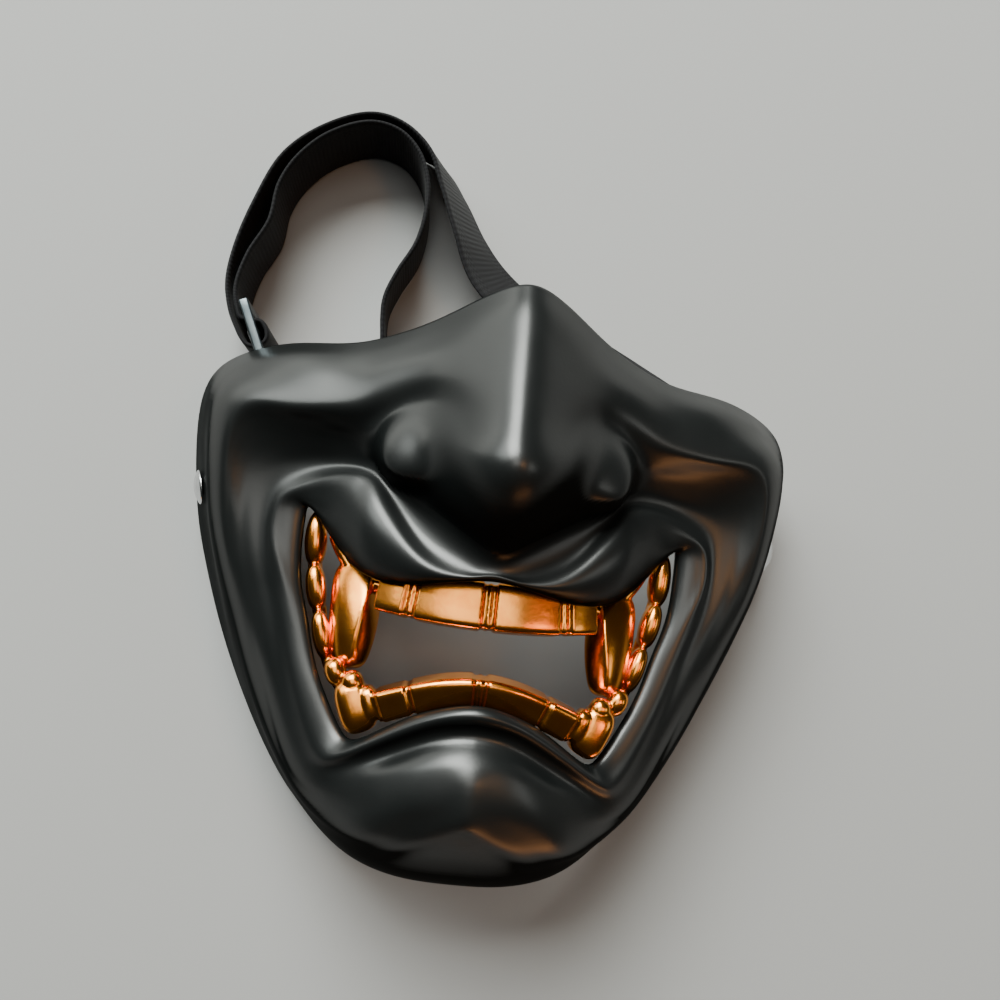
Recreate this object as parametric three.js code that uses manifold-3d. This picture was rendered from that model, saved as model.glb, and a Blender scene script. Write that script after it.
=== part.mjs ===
// Samurai face guard (menpo) with plated teeth and an elastic head strap.
// Millimetres, +Z up. The guard lies on its back edges, face up: X across the face,
// Y up the face towards the nose bridge and the strap loop, Z out of the face.

import * as THREE from 'three';
import { mergeVertices } from 'three/addons/utils/BufferGeometryUtils.js';
import Module from 'manifold-3d';

const wasm = await Module();
wasm.setup();

// Driving sizes
const WALL = 2.8;
const COLUMNS_PER_STATION = 3;
const ROWS_PER_SPAN = [1, 2, 1, 1, 2, 2, 2, 2, 1, 2, 2];
const STRAP_WIDTH = 25;
const STRAP_THICKNESS = 1.3;
const RIVET_HEAD = 9.6;
const RIVET_SHANK = 4.2;
const RIVET_HOLE = 4.9;
const GAP = 0.35;

// Materials
const BLACK_PLASTIC = { color: 0x0b0c0c, roughness: 0.32, metalness: 0.0 };
const COPPER_PLATE = { color: 0xc8813a, roughness: 0.14, metalness: 1.0 };
const BLACK_ELASTIC = { color: 0x0d0d0f, roughness: 0.85, metalness: 0.0 };
const NICKEL = { color: 0xb9bbbd, roughness: 0.22, metalness: 1.0 };

// Stations run from the midline above the mouth, round one side, to the midline below it:
// 0 mid top, 1 septum, 2 nostril, 3 wing, 4 lip peak, 5 lip outer, 6 mouth corner,
// 7 side high, 8 side mid, 9 side low, 10 lip corner, 11 chin side, 12 chin near, 13 mid low.
// Each ring is one feature line of the face, given at those stations.
const RINGS = [
  {
    name: 'lip back',
    x: [0, 9, 20, 29, 36, 43, 48.6, 48.5, 44.8, 40.3, 30.5, 17.5, 8, 0],
    y: [2.4, 1.0, -1.2, -0.8, 3.2, 10, 17, -0.6, -12.8, -26.2, -42.4, -34.2, -30.2, -28.6],
    z: [57.4, 57, 53.6, 49, 45, 41.5, 38.5, 38.5, 40, 42.5, 47, 54, 58, 59.8],
  },
  {
    name: 'lip edge',
    x: [0, 9.5, 21, 30, 36.5, 42, 48, 47.5, 43.8, 39.5, 29.8, 17, 8, 0],
    y: [1.2, -0.2, -2.4, -2, 1.8, 8.5, 15.5, -1, -13, -26, -41.2, -32.8, -28.9, -27.4],
    z: [61, 60.5, 57, 52.5, 48.5, 45, 42, 42.5, 44, 46.5, 51, 58, 62, 63.5],
  },
  {
    name: 'lip crest',
    x: [0, 9, 18.5, 29.5, 35, 45, 54.5, 55, 50, 44.5, 35.5, 18, 8.5, 0],
    y: [2.6, 1.2, 4.0, 16.5, 23.6, 22.4, 17, 2, -12.5, -29, -46.5, -36, -31.5, -30],
    z: [64.5, 64.8, 64, 59, 53, 47, 43.5, 43.5, 44.5, 47, 51.5, 60.5, 64.5, 66],
  },
  {
    name: 'lip groove',
    x: [0, 8, 18.5, 26.5, 33.2, 46, 57.5, 58, 53, 47.5, 37.5, 19.5, 9, 0],
    y: [3.6, 3.0, 8, 17.8, 25.2, 24.8, 19, 3, -12, -30, -49, -41.5, -36.8, -35.2],
    z: [64.5, 63, 60, 55.5, 49.5, 44.5, 42, 42, 42.8, 44.5, 48.5, 56, 60, 61.2],
  },
  {
    name: 'nose base',
    x: [0, 7.0, 17, 25.5, 33.5, 48, 61, 61, 56, 50, 39.5, 20.5, 9.5, 0],
    y: [6.5, 10.5, 16.8, 21.5, 27.5, 27, 21.5, 4, -11.5, -30.5, -51.5, -46, -42, -40.5],
    z: [66.5, 66, 61.5, 56.5, 49.5, 44.5, 42, 41.8, 42, 43, 46, 57.5, 62.5, 64],
  },
  {
    name: 'nostril rim',
    x: [0, 8, 18.5, 28, 34.5, 49.5, 64, 63.5, 58.5, 52, 41, 21.5, 10, 0],
    y: [13, 15.5, 22.5, 26.5, 29.5, 30, 25, 6, -11, -31.5, -53.5, -50.5, -46.5, -45.5],
    z: [77, 76, 68.5, 60, 50, 45, 42, 41.5, 41, 41, 43.5, 58.5, 63.8, 65.5],
  },
  {
    name: 'nose crest',
    x: [0, 9, 19.5, 29, 35.5, 50.5, 66, 65.8, 61, 53.5, 42, 23, 11, 0],
    y: [25.5, 26, 31.5, 33.5, 32.5, 33, 29, 8, -10, -32.5, -55, -55, -51.5, -51],
    z: [90.5, 85, 71.5, 63, 51.5, 46, 43, 41.5, 40, 38.5, 40.5, 57.5, 63.5, 65.5],
  },
  {
    name: 'wing crease',
    x: [0, 9.5, 20.5, 29.5, 37, 51.5, 67.5, 67.5, 63, 55.5, 43, 25, 12, 0],
    y: [37, 38, 41, 38.5, 35.5, 35.5, 33, 10, -9, -33.5, -56.5, -59, -56, -55.5],
    z: [87, 79.5, 64, 58, 52.5, 47.8, 44, 41.5, 39, 35.5, 37, 55.5, 61.5, 63.8],
  },
  {
    name: 'cheek edge',
    x: [0, 10, 21, 30.5, 38.5, 52.5, 69, 69.5, 65, 57.5, 44, 27, 13, 0],
    y: [47, 46.5, 46.5, 42.5, 39.5, 38, 37, 12, -8, -34, -57.5, -62.5, -60.5, -59.5],
    z: [83, 76.5, 66, 60, 56, 52, 45.5, 41.5, 37.5, 31.5, 32, 52, 58.5, 61],
  },
  {
    name: 'cheek crest',
    x: [0, 10, 21, 31.5, 40, 54.5, 72, 72, 68, 59.5, 45, 29, 14.5, 0],
    y: [57, 55.5, 52, 48.5, 45.5, 43, 40, 14, -6.5, -34, -58.5, -66, -66.5, -66],
    z: [79, 73, 65, 60.5, 57, 53, 44, 40, 34, 25, 25, 44, 51.5, 54],
  },
  {
    name: 'flange mid',
    x: [0, 9.5, 21, 32, 41.5, 59, 79, 78.5, 73.5, 63.8, 47.8, 31.5, 16.5, 0],
    y: [65, 63, 58, 54.5, 52, 51, 44.5, 17.5, -4.5, -32.8, -59, -71, -76, -76.5],
    z: [75.5, 70.5, 61.5, 56, 52.5, 46.5, 31, 22, 18, 12.5, 13.5, 30, 35, 37],
  },
  {
    name: 'rim',
    x: [0, 9, 21.5, 32, 43, 63.2, 84, 85.9, 80.0, 68.5, 51.5, 34.5, 17.5, 0],
    y: [71.3, 69, 63.3, 59.6, 57.3, 56.5, 48.5, 20, -3, -31, -59.5, -72.5, -78.2, -79.6],
    z: [72, 67.5, 57.5, 51, 45.5, 36, 16, 1.2, 0, 0, 1.5, 12, 18, 20],
  },
];
const LAST_STATION = 13;
const LAST_RING = RINGS.length - 1;

// How sharply the section bends at each ring, above the mouth, beside it and below it
const BEND = [
  { above: 0.0, beside: 0.0, below: 0.0 },
  { above: 0.3, beside: 0.3, below: 0.3 },
  { above: 0.6, beside: 0.6, below: 0.2 },
  { above: 0.5, beside: 0.3, below: 0.3 },
  { above: 0.4, beside: 0.0, below: 0.2 },
  { above: 0.3, beside: 0.0, below: 0.0 },
  { above: 0.0, beside: 0.0, below: 0.0 },
  { above: 0.5, beside: 0.0, below: 0.0 },
  { above: 0.2, beside: 0.0, below: 0.0 },
  { above: 0.0, beside: 0.0, below: 0.5 },
  { above: 0.0, beside: 0.0, below: 0.0 },
  { above: 0.0, beside: 0.0, below: 0.0 },
];

// The back of the lips: how far each lip ring's inner face lies out from the mouth and down
const LIP_INSET = [
  { out: 3.0, down: 0.0 },
  { out: 3.2, down: 1.0 },
  { out: 1.5, down: 4.0 },
  { out: 0.4, down: 3.2 },
];

function clamp(value, low, high) {
  return Math.min(high, Math.max(low, value));
}

function ringValue(list, station, odd, cornerHold) {
  const i = Math.min(LAST_STATION - 1, Math.floor(station));
  const t = station - i;
  const at = (k) => {
    if (k < 0) {
      return (odd ? -1 : 1) * list[-k];
    }
    if (k > LAST_STATION) {
      return (odd ? -1 : 1) * list[2 * LAST_STATION - k];
    }
    return list[k];
  };
  const hold = (k) => (k === 6 || k === 10 ? 1 - cornerHold : 1);
  const m0 = 0.5 * (at(i + 1) - at(i - 1)) * hold(i);
  const m1 = 0.5 * (at(i + 2) - at(i)) * hold(i + 1);
  const t2 = t * t;
  const t3 = t2 * t;
  return at(i) * (2 * t3 - 3 * t2 + 1) + m0 * (t3 - 2 * t2 + t)
    + at(i + 1) * (3 * t2 - 2 * t3) + m1 * (t3 - t2);
}

function ringPoint(ring, around) {
  const mirrored = around > LAST_STATION;
  const station = mirrored ? 2 * LAST_STATION - around : around;
  const table = RINGS[ring];
  const cornerHold = ring < 3 ? 0.75 : ring === 3 ? 0.4 : 0;
  const x = ringValue(table.x, station, true, cornerHold);
  const y = ringValue(table.y, station, false, cornerHold);
  const z = ringValue(table.z, station, false, 0);
  return new THREE.Vector3(mirrored ? -x : x, y, z);
}

function bendAt(ring, around) {
  const station = around > LAST_STATION ? 2 * LAST_STATION - around : around;
  const toSide = clamp((station - 5) / 2, 0, 1);
  const toChin = clamp((station - 9.5) / 1.5, 0, 1);
  const b = BEND[ring];
  return (b.above * (1 - toSide) + b.beside * toSide) * (1 - toChin) + b.below * toChin;
}

// One cross-section of the outer face, from the back of the lip to the rim
function sectionPoints(around, rowsPerSpan) {
  const points = RINGS.map((ring, k) => ringPoint(k, around));
  const chords = [];
  for (let k = 0; k < LAST_RING; k += 1) {
    chords.push(points[k + 1].clone().sub(points[k]));
  }
  const lengths = chords.map((c) => Math.max(0.05, c.length()));
  const units = chords.map((c, k) => c.clone().divideScalar(lengths[k]));
  const smooth = points.map((p, k) => {
    if (k === 0) {
      return units[0].clone();
    }
    if (k === LAST_RING) {
      return units[LAST_RING - 1].clone();
    }
    const total = lengths[k - 1] + lengths[k];
    const before = units[k - 1].clone().multiplyScalar(lengths[k] / total);
    return before.addScaledVector(units[k], lengths[k - 1] / total);
  });
  const section = [];
  for (let k = 0; k < LAST_RING; k += 1) {
    const leave = smooth[k].clone().lerp(units[k], bendAt(k, around)).multiplyScalar(lengths[k]);
    const arrive = smooth[k + 1].clone().lerp(units[k], bendAt(k + 1, around)).multiplyScalar(lengths[k]);
    const steps = rowsPerSpan[k];
    for (let i = 0; i < steps; i += 1) {
      const t = i / steps;
      const t2 = t * t;
      const t3 = t2 * t;
      const point = points[k].clone().multiplyScalar(2 * t3 - 3 * t2 + 1);
      point.addScaledVector(leave, t3 - 2 * t2 + t);
      point.addScaledVector(points[k + 1], 3 * t2 - 2 * t3);
      point.addScaledVector(arrive, t3 - t2);
      point.z = Math.max(0, point.z);
      section.push({ ring: k + t, point });
    }
  }
  const rim = points[LAST_RING].clone();
  rim.z = Math.max(0, rim.z);
  section.push({ ring: LAST_RING, point: rim });
  return section;
}

function outerFace(columns, rowsPerSpan) {
  const face = [];
  for (let i = 0; i < columns; i += 1) {
    face.push(sectionPoints((i * 2 * LAST_STATION) / columns, rowsPerSpan));
  }
  return face;
}

// Slowly varying outward directions, used to lay the inner face one wall below the outer one
function smoothDirections(face, passes) {
  const columns = face.length;
  const rows = face[0].length;
  const at = (i, j) => face[(i + columns) % columns][clamp(j, 0, rows - 1)].point;
  let normals = face.map((section, i) => section.map((entry, j) => {
    const along = at(i + 1, j).clone().sub(at(i - 1, j));
    const across = at(i, j + 1).clone().sub(at(i, j - 1));
    return along.cross(across).normalize();
  }));
  const exact = normals;
  for (let pass = 0; pass < passes; pass += 1) {
    const last = normals;
    normals = last.map((column, i) => column.map((n, j) => {
      const sum = n.clone().multiplyScalar(2);
      sum.add(last[(i + 1) % columns][j]);
      sum.add(last[(i + columns - 1) % columns][j]);
      sum.add(last[i][Math.min(rows - 1, j + 1)]);
      sum.add(last[i][Math.max(0, j - 1)]);
      return sum.normalize();
    }));
  }
  return { exact, normals };
}

function innerPoint(entry, exact, smooth, mouthward) {
  const depth = WALL / Math.max(0.62, exact.dot(smooth));
  const general = smooth.clone().multiplyScalar(-depth);
  const k = Math.min(3, Math.floor(entry.ring));
  const next = Math.min(3, k + 1);
  const t = clamp(entry.ring - k, 0, 1);
  const out = LIP_INSET[k].out * (1 - t) + LIP_INSET[next].out * t;
  const down = LIP_INSET[k].down * (1 - t) + LIP_INSET[next].down * t;
  const lip = mouthward.clone().multiplyScalar(out);
  lip.z -= down;
  const mix = clamp(entry.ring - 3, 0, 1);
  const point = entry.point.clone().add(lip.lerp(general, mix));
  point.z = Math.max(0, point.z);
  return point;
}

function buildShell() {
  const columns = 2 * LAST_STATION * COLUMNS_PER_STATION;
  const face = outerFace(columns, ROWS_PER_SPAN);
  const rows = face[0].length;
  const { exact, normals } = smoothDirections(face, 10);
  const inner = face.map((section, i) => {
    const around = (i * 2 * LAST_STATION) / columns;
    const mouthward = ringPoint(3, around).sub(ringPoint(1, around)).setZ(0).normalize();
    return section.map((entry, j) => innerPoint(entry, exact[i][j], normals[i][j], mouthward));
  });
  const ringCount = 2 * rows;
  const torus = new THREE.TorusGeometry(10, 2, ringCount, columns);
  const position = torus.getAttribute('position');
  for (let j = 0; j <= ringCount; j += 1) {
    const row = j % ringCount;
    for (let i = 0; i <= columns; i += 1) {
      const column = i % columns;
      const point = row < rows ? face[column][row].point : inner[column][ringCount - 1 - row];
      position.setXYZ(j * (columns + 1) + i, point.x, point.y, point.z);
    }
  }
  return torus;
}

// The place of a rivet on the side flange, and the flange's outward direction there
function rivetSeat(side) {
  const around = side > 0 ? 7.03 : 2 * LAST_STATION - 7.03;
  const ring = 10.36;
  const steps = 40;
  const spans = ROWS_PER_SPAN.map(() => steps);
  const pick = (a) => sectionPoints(a, spans)[Math.round(ring * steps)].point;
  const centre = pick(around);
  const ahead = pick(around + 0.05).sub(pick(around - 0.05));
  const section = sectionPoints(around, spans);
  const down = section[Math.round(ring * steps) + 2].point.clone();
  down.sub(section[Math.round(ring * steps) - 2].point);
  const normal = down.cross(ahead).normalize();
  if (normal.x * side < 0) {
    normal.negate();
  }
  return { centre, normal };
}

// Solids for cutting and joining
function toSolid(geometry) {
  const plain = geometry.clone();
  plain.deleteAttribute('normal');
  plain.deleteAttribute('uv');
  const merged = mergeVertices(plain, 1e-4);
  const solid = new wasm.Manifold(new wasm.Mesh({
    numProp: 3,
    vertProperties: new Float32Array(merged.getAttribute('position').array),
    triVerts: new Uint32Array(merged.getIndex().array),
  }));
  return solid;
}

function fromSolid(solid) {
  const mesh = solid.getMesh();
  const geometry = new THREE.BufferGeometry();
  geometry.setAttribute('position', new THREE.BufferAttribute(new Float32Array(mesh.vertProperties), 3));
  geometry.setIndex(new THREE.BufferAttribute(new Uint32Array(mesh.triVerts), 1));
  geometry.computeVertexNormals();
  return geometry;
}

function facingOut(geometry) {
  const plain = geometry.clone();
  plain.deleteAttribute('normal');
  plain.deleteAttribute('uv');
  const merged = mergeVertices(plain, 1e-4);
  const p = merged.getAttribute('position');
  const index = merged.getIndex();
  const a = new THREE.Vector3();
  const b = new THREE.Vector3();
  const c = new THREE.Vector3();
  let volume = 0;
  for (let i = 0; i < index.count; i += 3) {
    a.fromBufferAttribute(p, index.getX(i));
    b.fromBufferAttribute(p, index.getX(i + 1));
    c.fromBufferAttribute(p, index.getX(i + 2));
    volume += a.dot(b.cross(c));
  }
  if (volume < 0) {
    for (let i = 0; i < index.count; i += 3) {
      const first = index.getX(i);
      index.setX(i, index.getX(i + 1));
      index.setX(i + 1, first);
    }
  }
  merged.computeVertexNormals();
  return merged;
}

function join(geometries) {
  let solid = toSolid(facingOut(geometries[0]));
  for (const geometry of geometries.slice(1)) {
    solid = solid.add(toSolid(facingOut(geometry)));
  }
  return fromSolid(solid);
}

function cut(geometry, tools) {
  let solid = toSolid(facingOut(geometry));
  for (const tool of tools) {
    solid = solid.subtract(toSolid(facingOut(tool)));
  }
  return fromSolid(solid);
}

function rodAlong(centre, direction, diameter, length, sides) {
  const rod = new THREE.CylinderGeometry(diameter / 2, diameter / 2, length, sides);
  const turn = new THREE.Quaternion().setFromUnitVectors(new THREE.Vector3(0, 1, 0), direction);
  rod.applyQuaternion(turn);
  rod.translate(centre.x, centre.y, centre.z);
  return rod;
}

// A rounded block: a ball pushed out towards a box, with its own taper along Y
function toothBlock({ x, y, z, wide, tall, deep, turn, lean, taper, box, segments }) {
  const around = segments ?? 10;
  const ball = new THREE.SphereGeometry(1, around, Math.round(around * 0.7));
  const p = ball.getAttribute('position');
  const power = (v) => Math.sign(v) * Math.abs(v) ** (1 - (box ?? 0.45));
  for (let i = 0; i < p.count; i += 1) {
    const along = power(p.getY(i));
    const width = 1 + (taper ?? 0) * along;
    p.setXYZ(i, power(p.getX(i)) * width * wide / 2, along * tall / 2, power(p.getZ(i)) * width * deep / 2);
  }
  ball.rotateX(THREE.MathUtils.degToRad(lean ?? 0));
  ball.rotateZ(THREE.MathUtils.degToRad(turn ?? 0));
  ball.translate(x, y, z);
  return ball;
}

function mirroredPair(spec) {
  return [
    toothBlock(spec),
    toothBlock({ ...spec, x: -spec.x, turn: -(spec.turn ?? 0) }),
  ];
}

function gumBar(points, diameter, steps) {
  const curve = new THREE.CatmullRomCurve3(points.map((p) => new THREE.Vector3(p.x, p.y, p.z)));
  const section = new THREE.Shape();
  section.absarc(0, 0, diameter / 2, 0, 2 * Math.PI, false);
  return new THREE.ExtrudeGeometry(section, {
    steps,
    curveSegments: 3,
    bevelEnabled: false,
    extrudePath: curve,
  });
}

// Upper row: four front teeth, two long fangs, and the gum bar hidden behind the upper lip
const UPPER_TEETH = [
  { x: 8.6, y: -5.8, z: 53.2, wide: 15.4, tall: 10.2, deep: 7.6, turn: -2, taper: 0.02, box: 0.62 },
  { x: 21.4, y: -6.3, z: 50.6, wide: 9.4, tall: 8.6, deep: 7.2, turn: -2, taper: 0.03, box: 0.58 },
  {
    x: 32.4, y: -11.2, z: 43.0, wide: 10.2, tall: 24.0, deep: 8.6,
    turn: -1.5, lean: 2, taper: 0.2, box: 0.3,
  },
];
const UPPER_GUM = [
  { x: -33, y: -2.8, z: 42.6 },
  { x: -27, y: -3.0, z: 45.4 },
  { x: -14, y: -2.2, z: 49.4 },
  { x: 0, y: -1.6, z: 50.8 },
  { x: 14, y: -2.2, z: 49.4 },
  { x: 27, y: -3.0, z: 45.4 },
  { x: 33, y: -2.8, z: 42.6 },
];

// Lower row: four front teeth, two canines with their cusps, and the beads up each side
const LOWER_TEETH = [
  { x: 8.0, y: -25.6, z: 55.4, wide: 15.0, tall: 7.6, deep: 7.6, turn: -9, taper: 0.02, box: 0.55 },
  { x: 19.4, y: -29.6, z: 53.4, wide: 8.2, tall: 8.4, deep: 7.0, turn: -22, taper: 0.03, box: 0.5 },
  { x: 27.9, y: -31.9, z: 50.4, wide: 9.6, tall: 12.6, deep: 8.0, turn: -24, taper: -0.12, box: 0.4 },
  { x: 31.0, y: -26.6, z: 51.0, wide: 6.2, tall: 6.4, deep: 5.8, turn: -20, box: 0.1, segments: 8 },
  { x: 35.6, y: -26.2, z: 48.0, wide: 5.6, tall: 8.6, deep: 6.0, turn: -14, box: 0.1, segments: 8 },
  { x: 39.8, y: -17.4, z: 42.4, wide: 5.4, tall: 12.0, deep: 7.0, turn: -14, box: 0.15, segments: 8 },
  { x: 43.0, y: -6.0, z: 40.4, wide: 5.4, tall: 12.0, deep: 7.0, turn: -14, box: 0.15, segments: 8 },
  {
    x: 44.5, y: 5.6, z: 38.8, wide: 5.4, tall: 13.6, deep: 6.6,
    turn: -6, taper: -0.12, box: 0.1, segments: 8,
  },
];
const LOWER_GUM = [
  { x: -46, y: 11, z: 37.4 },
  { x: -45, y: 3, z: 37.6 },
  { x: -43, y: -6, z: 38.4 },
  { x: -40.2, y: -16, z: 40.0 },
  { x: -36.2, y: -25.5, z: 43.6 },
  { x: -28.5, y: -32.4, z: 47.4 },
  { x: -19.5, y: -30.8, z: 50.4 },
  { x: -9, y: -27.6, z: 53.0 },
  { x: 0, y: -26.6, z: 54.0 },
  { x: 9, y: -27.6, z: 53.0 },
  { x: 19.5, y: -30.8, z: 50.4 },
  { x: 28.5, y: -32.4, z: 47.4 },
  { x: 36.2, y: -25.5, z: 43.6 },
  { x: 40.2, y: -16, z: 40.0 },
  { x: 43, y: -6, z: 38.4 },
  { x: 45, y: 3, z: 37.6 },
  { x: 46, y: 11, z: 37.4 },
];

function buildTeeth(table, gum, gumDiameter) {
  const blocks = table.flatMap((spec) => mirroredPair(spec));
  return join([gumBar(gum, gumDiameter, gum.length + 1), ...blocks]);
}

// A flat band standing on edge: its centre line, and how far its upper edge leans inwards
function bandPath(points) {
  const line = new THREE.CatmullRomCurve3(
    points.map((p) => new THREE.Vector3(p.x, p.y, p.z)), false, 'centripetal');
  return { line, leans: points.map((p) => p.lean), count: points.length };
}

function bandGeometry(points, steps) {
  const { line, leans, count } = bandPath(points);
  const band = new THREE.BoxGeometry(1, 1, 1, steps, 1, 1);
  const p = band.getAttribute('position');
  for (let i = 0; i < p.count; i += 1) {
    const t = p.getX(i) + 0.5;
    const centre = line.getPoint(t);
    const tangent = line.getTangent(t).setZ(0).normalize();
    const side = new THREE.Vector3(tangent.y, -tangent.x, 0);
    const place = t * (count - 1);
    const k = Math.min(count - 2, Math.floor(place));
    const lean = THREE.MathUtils.degToRad(leans[k] + (leans[k + 1] - leans[k]) * (place - k));
    const up = new THREE.Vector3(0, 0, Math.cos(lean)).addScaledVector(side, -Math.sin(lean));
    const face = side.clone().multiplyScalar(Math.cos(lean));
    face.z = Math.sin(lean);
    centre.addScaledVector(face, p.getY(i) * STRAP_THICKNESS);
    centre.addScaledVector(up, p.getZ(i) * STRAP_WIDTH);
    p.setXYZ(i, centre.x, centre.y, centre.z);
  }
  return band;
}

// Route of the long strap, from the right rivet round the loop to the slide and back as its tail
const STRAP_ROUTE = [
  { x: 75.4, y: 9.6, z: 13.2, lean: 19 },
  { x: 76.5, y: 15, z: 13.2, lean: 19 },
  { x: 77.5, y: 20.5, z: 13.2, lean: 19 },
  { x: 78.0, y: 28, z: 13, lean: 19 },
  { x: 75, y: 38, z: 12.8, lean: 20 },
  { x: 67, y: 49.5, z: 12.6, lean: 22 },
  { x: 54, y: 59.5, z: 12.4, lean: 26 },
  { x: 38, y: 67, z: 12, lean: 30 },
  { x: 20, y: 74.5, z: 11.4, lean: 35 },
  { x: 3, y: 82, z: 11, lean: 38 },
  { x: -7.6, y: 90, z: 11, lean: 37 },
  { x: -15, y: 101, z: 11.8, lean: 27 },
  { x: -21.3, y: 112.8, z: 12.2, lean: 21 },
  { x: -27.2, y: 122, z: 12.6, lean: 14 },
  { x: -36.5, y: 127.4, z: 12.8, lean: 5 },
  { x: -46.6, y: 128.4, z: 12.8, lean: 0 },
  { x: -59.5, y: 122.9, z: 12.8, lean: 0 },
  { x: -69.8, y: 113.2, z: 12.8, lean: 0 },
  { x: -75.9, y: 98.4, z: 12.9, lean: 0 },
  { x: -79.4, y: 84, z: 13.3, lean: 0 },
  { x: -79.8, y: 74, z: 14.0, lean: 0 },
  { x: -77.8, y: 66.4, z: 14.2, lean: 0 },
  { x: -75.6, y: 62.2, z: 14.3, lean: 0 },
  { x: -73.95, y: 59.6, z: 14.3, lean: 0 },
  { x: -71.9, y: 57.7, z: 14.3, lean: 0 },
  { x: -69.0, y: 57.8, z: 14.3, lean: 0 },
  { x: -67.2, y: 60.0, z: 14.3, lean: 0 },
  { x: -67.5, y: 62.6, z: 14.3, lean: 0 },
  { x: -69.4, y: 64.6, z: 14.3, lean: 0 },
  { x: -72.2, y: 64.6, z: 14.3, lean: 0 },
  { x: -74.8, y: 65.0, z: 14.3, lean: 0 },
  { x: -76.1, y: 67.4, z: 14.2, lean: 0 },
  { x: -77.4, y: 73.4, z: 14.0, lean: 0 },
  { x: -75.6, y: 83.2, z: 13.3, lean: 0 },
  { x: -71.2, y: 93.6, z: 12.9, lean: 0 },
  { x: -69.9, y: 104.5, z: 12.8, lean: 0 },
  { x: -66, y: 112.8, z: 12.8, lean: 0 },
  { x: -58.2, y: 120.9, z: 12.8, lean: 0 },
  { x: -47, y: 125.9, z: 12.8, lean: 0 },
  { x: -38.5, y: 124.6, z: 12.8, lean: 0 },
  { x: -32.6, y: 119.4, z: 12.8, lean: 0 },
  { x: -29.2, y: 111.5, z: 12.8, lean: 0 },
  { x: -28.6, y: 102, z: 12.8, lean: 0 },
  { x: -30.2, y: 93, z: 12.8, lean: 0 },
  { x: -34.4, y: 84, z: 12.8, lean: 0 },
  { x: -36.9, y: 76, z: 12.8, lean: 0 },
  { x: -36.0, y: 64, z: 12.8, lean: 0 },
  { x: -34.6, y: 52, z: 12.8, lean: 0 },
];

// Route of the short strap, from the left rivet to the slide's near bar and round it
const ANCHOR_ROUTE = [
  { x: -75.4, y: 9.6, z: 13.2, lean: -19 },
  { x: -76.6, y: 15, z: 13.2, lean: -19 },
  { x: -77.6, y: 20.5, z: 13.2, lean: -19 },
  { x: -77.4, y: 28, z: 13.2, lean: -16 },
  { x: -76.2, y: 36, z: 13.2, lean: -9 },
  { x: -73.8, y: 44, z: 13.2, lean: -3 },
  { x: -71.2, y: 49.6, z: 13.2, lean: 0 },
  { x: -70.3, y: 54.2, z: 13.2, lean: 0 },
];

function buildStrapMain(rivetSeatRight) {
  const band = bandGeometry(STRAP_ROUTE, 130);
  const hole = rodAlong(rivetSeatRight.centre, rivetSeatRight.normal, RIVET_HOLE, 24, 12);
  return cut(band, [hole]);
}

function buildStrapAnchor(rivetSeatLeft) {
  const band = bandGeometry(ANCHOR_ROUTE, 30);
  const hole = rodAlong(rivetSeatLeft.centre, rivetSeatLeft.normal, RIVET_HOLE, 24, 12);
  return cut(band, [hole]);
}

// Slide: a flat frame with a bar across its middle, standing on its short side
const SLIDE = {
  x: -70.7, y: 61.4, z: 14.3, tall: 28.2, long: 18.4, thick: 2.6, rail: 2.9, bar: 2.6, slotTall: 25.8,
};

function buildSlide() {
  const frame = new THREE.BoxGeometry(SLIDE.long, SLIDE.thick, SLIDE.tall);
  const slot = (SLIDE.long - 2 * SLIDE.rail - SLIDE.bar) / 2;
  const offset = SLIDE.bar / 2 + slot / 2;
  const far = new THREE.BoxGeometry(slot, 3 * SLIDE.thick, SLIDE.slotTall);
  far.translate(offset, 0, 0);
  const near = far.clone();
  near.translate(-2 * offset, 0, 0);
  const cutFrame = cut(frame, [far, near]);
  cutFrame.rotateZ(THREE.MathUtils.degToRad(-65));
  cutFrame.translate(SLIDE.x, SLIDE.y, SLIDE.z);
  return cutFrame;
}

// Rivet: domed head outside, shank through both walls, flat head inside the strap
function buildRivet(seat) {
  const inside = -(WALL + STRAP_THICKNESS + 3.6 * GAP);
  const profile = [
    new THREE.Vector2(0, inside - 1.1),
    new THREE.Vector2(3.4, inside - 1.1),
    new THREE.Vector2(3.8, inside - 0.4),
    new THREE.Vector2(3.8, inside),
    new THREE.Vector2(RIVET_SHANK / 2, inside),
    new THREE.Vector2(RIVET_SHANK / 2, GAP),
    new THREE.Vector2(RIVET_HEAD / 2, GAP),
    new THREE.Vector2(RIVET_HEAD / 2, GAP + 0.5),
    new THREE.Vector2(RIVET_HEAD * 0.42, GAP + 1.2),
    new THREE.Vector2(RIVET_HEAD * 0.24, GAP + 1.7),
    new THREE.Vector2(0, GAP + 1.9),
  ];
  const rivet = new THREE.LatheGeometry(profile, 14);
  const turn = new THREE.Quaternion().setFromUnitVectors(new THREE.Vector3(0, 1, 0), seat.normal);
  rivet.applyQuaternion(turn);
  rivet.translate(seat.centre.x, seat.centre.y, seat.centre.z);
  return rivet;
}

function piece(name, geometry, look) {
  const mesh = new THREE.Mesh(facingOut(geometry), new THREE.MeshStandardMaterial(look));
  mesh.name = name;
  return mesh;
}

// The origin: on the floor, under the middle of the whole object's box
function moveOriginUnderMiddle(group) {
  const box = new THREE.Box3();
  group.children.forEach((mesh) => {
    mesh.geometry.computeBoundingBox();
    box.union(mesh.geometry.boundingBox);
  });
  const middle = box.getCenter(new THREE.Vector3());
  group.children.forEach((mesh) => mesh.geometry.translate(-middle.x, -middle.y, -box.min.z));
}

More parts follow.
